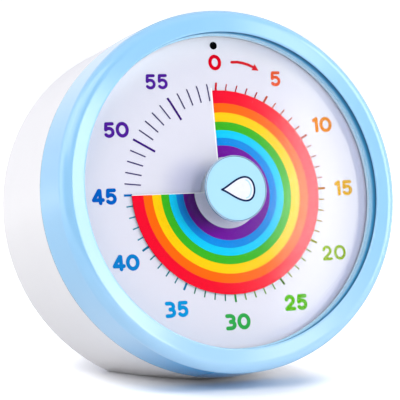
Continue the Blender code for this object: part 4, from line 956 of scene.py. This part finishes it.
# The arrow and the dot, in units of the ring of minute marks.
ARROW_LINE = ((0.171, 1.195), (0.225, 1.196), (0.28, 1.187), (0.335, 1.170), (0.385, 1.146))
ARROW_WIDTH = 0.026
ARROW_TIP = (0.437, 1.112)
ARROW_HEAD_LENGTH = 0.064
ARROW_HEAD_HALF_WIDTH = 0.034
DOT_PLACE = (0.0, 1.352)
DOT_RADIUS = 0.036


def print_arrow_and_dot():
    """The arrow beside the 0, and the dot over it."""
    ink = Ink(dial_height)
    line = [Vector(point) * RING for point in ARROW_LINE]
    ink.stroke(line, ARROW_WIDTH * RING)
    tip = Vector(ARROW_TIP) * RING
    along = (tip - line[-1]).normalized()
    side = Vector((-along.y, along.x)) * ARROW_HEAD_HALF_WIDTH * RING
    back = tip - along * ARROW_HEAD_LENGTH * RING
    ink.patch([tuple(tip), tuple(back + side), tuple(back - side)])
    finish = ink_finish("arrow_ink", [(0.0, ARROW_RED)])
    finished("arrow", ink.made, finish, "case")

    ink = Ink(dial_height)
    radii = (DOT_RADIUS * RING, DOT_RADIUS * RING)
    ink.patch(bend((DOT_PLACE[0], DOT_PLACE[1] * RING), radii, 0, 345, 23))
    finish = ink_finish("dot_ink", [(0.0, DOT_BLACK)])
    finished("dot", ink.made, finish, "case")


# The raindrop's sizes in millimetres.
DROP_SIZE = 4.9
DROP_LINE = 0.52
DROP_SHADE_SIZE = 3.9
DROP_SHADE_LINE = 0.35
DROP_FILL_LIFT = 0.01


def drop_path(size, count=60):
    """A raindrop: pointed at the left and round at the right."""
    middle = Vector((0.5, -0.2))
    turns = [2 * math.pi * i / count for i in range(count)]
    shape = [Vector((math.cos(t), 0.98 * math.sin(t) * abs(math.cos(t / 2)) ** 1.7)) for t in turns]
    return [tuple(middle + point * size) for point in shape]


def print_drop():
    """The knob's picture: a plain raindrop with a dark outline and a pale shade line."""
    fill = Ink(knob_height)
    fill.lift = DROP_FILL_LIFT
    fill.patch(drop_path(DROP_SIZE))
    outline = Ink(knob_height)
    outline.loop(drop_path(DROP_SIZE), DROP_LINE)
    shade = Ink(knob_height)
    inner = drop_path(DROP_SHADE_SIZE)
    shade.stroke(inner[-9:] + inner[:9], DROP_SHADE_LINE)
    for name, ink, ink_colour in (
        ("drop_fill", fill, DROP_WHITE),
        ("drop_outline", outline, NAVY),
        ("drop_shade", shade, DROP_BLUE),
    ):
        finish = ink_finish(name + "_ink", [(0.0, ink_colour)])
        finished(name, ink.made, finish, "knob")


# The studio

# The room: how bright it is, its tint, and the lean and span of its dark side behind the camera.
AMBIENT = 0.31
SKY = (0.95, 0.97, 1.1, 1.0)
DARK_LEAN = (0.3, 0.6)
DARK_SPAN = (-0.25, 0.35)

# The floor, in metres from under the timer: its half side, and where its glow sets in.
FLOOR_HALF = 40
FLOOR_GLOW = 0.6
FLOOR_GLOW_SPAN = (0.036, 0.064)
FLOOR_GLOW_STRETCH = 2.5
FLOOR_MIRROR_SPAN = (0.2, 0.6)

# A lamp's name, its azimuth to the right of the front, its elevation and its roll in degrees, its
# distance, width and height in metres and its power in watts.
LAMPS = (
    ("window_strip", 33.4, 19, -14, 1.0, 0.138, 0.8, 1.4),
    ("key_softbox", 63.0, 17, 0, 1.0, 0.46, 0.9, 6.0),
    ("front_strip", 11.5, 12, 0, 1.2, 0.21, 0.7, 3.3),
    ("left_softbox", -104, 22, 0, 1.2, 1.0, 1.3, 7.6),
    ("top_softbox", -60, 48, 0, 1.2, 1.0, 0.8, 6.6),
)

# The camera: where it stands from the dial's middle in metres, where it looks, and its lens.
CAMERA_OFFSET = Vector((-0.2809, -0.6031, 0.0555))
VIEW_DIRECTION = Vector((0.41085, 0.90759, -0.08651))
CAMERA_LENS = 220.0


def lay_floor():
    """Plain white paper, which the camera sees brighter away from the timer."""
    made = bmesh.new()
    bmesh.ops.create_grid(made, x_segments=1, y_segments=1, size=FLOOR_HALF)
    data = bpy.data.meshes.new("floor")
    made.to_mesh(data)
    made.free()
    floor = bpy.data.objects.new("floor", data)
    bpy.context.scene.collection.objects.link(floor)
    paper = Finish("floor_paper", roughness=0.45, specular_ior_level=0.25, emission_strength=1.0)
    place = paper.place()
    grain = paper.noise(place, 0.02, 3.0)
    paper.set("Base Color", paper.mix(grain, colour(243, 244, 247), colour(246, 247, 250)))
    away = paper.read("ShaderNodeVectorMath", {"operation": "LENGTH"}, {0: place}, "Value")
    across, depth, _ = paper.parts(place)
    near = (across ** 2 * FLOOR_GLOW_STRETCH + depth ** 2) ** 0.5
    rays = paper.node("ShaderNodeLightPath").outputs
    seen = near.step(*FLOOR_GLOW_SPAN) * Reading(paper, rays["Is Camera Ray"])
    mirrored = away.step(*FLOOR_MIRROR_SPAN) * Reading(paper, rays["Is Glossy Ray"])
    paper.set("Emission Color", paper.mix((seen + mirrored) * FLOOR_GLOW, BLACK, WHITE))
    data.materials.append(paper.material)


def light_studio():
    """A white room that is dark behind the camera, with two strip lamps and three softboxes."""
    scene = bpy.context.scene
    world = bpy.data.worlds.new("studio")
    scene.world = world
    world.use_nodes = True
    bench = Bench(world.node_tree)
    rays = bench.node("ShaderNodeLightPath").outputs
    camera = Reading(bench, rays["Is Camera Ray"])
    glossy = Reading(bench, rays["Is Glossy Ray"])
    through = Reading(bench, rays["Is Transmission Ray"])
    across, depth, height = bench.parts(bench.read("ShaderNodeTexCoord", output="Generated"))
    behind = (depth + across * DARK_LEAN[0] + height * DARK_LEAN[1]).step(*DARK_SPAN)
    light = glossy * behind + (1 - glossy) * AMBIENT
    lit = bench.mix(light, BLACK, SKY)
    background = world.node_tree.nodes["Background"]
    bench.feed(background.inputs["Color"], bench.mix(camera + through, lit, WHITE))

    for name, azimuth, elevation, roll, distance, width, tall, power in LAMPS:
        lamp = bpy.data.lights.new(name, "AREA")
        lamp.shape = "RECTANGLE"
        lamp.size = width
        lamp.size_y = tall
        lamp.energy = power
        stand = bpy.data.objects.new(name, lamp)
        scene.collection.objects.link(stand)
        turn, tilt = math.radians(azimuth), math.radians(elevation)
        level = Vector((math.sin(turn), -math.cos(turn), 0)) * math.cos(tilt)
        away = level + Vector((0, 0, math.sin(tilt)))
        stand.location = DIAL_MIDDLE + away * distance
        rolled = Quaternion((0, 0, 1), math.radians(roll))
        stand.rotation_euler = (away.to_track_quat("Z", "Y") @ rolled).to_euler()


def set_camera():
    """The photograph's camera: from the left, far off and with a long lens."""
    scene = bpy.context.scene
    data = bpy.data.cameras.new("camera")
    data.sensor_width = 36.0
    data.lens = CAMERA_LENS
    data.clip_start = 0.01
    data.clip_end = 100
    camera = bpy.data.objects.new("camera", data)
    scene.collection.objects.link(camera)
    camera.location = DIAL_MIDDLE + CAMERA_OFFSET
    camera.rotation_euler = VIEW_DIRECTION.to_track_quat("-Z", "Y").to_euler()
    scene.camera = camera


dress_cad_pieces()
build_bezel()
build_knob()
print_numbers()
print_minute_marks()
print_arrow_and_dot()
print_drop()
lay_floor()
light_studio()
set_camera()
bpy.context.scene.view_settings.view_transform = "Standard"
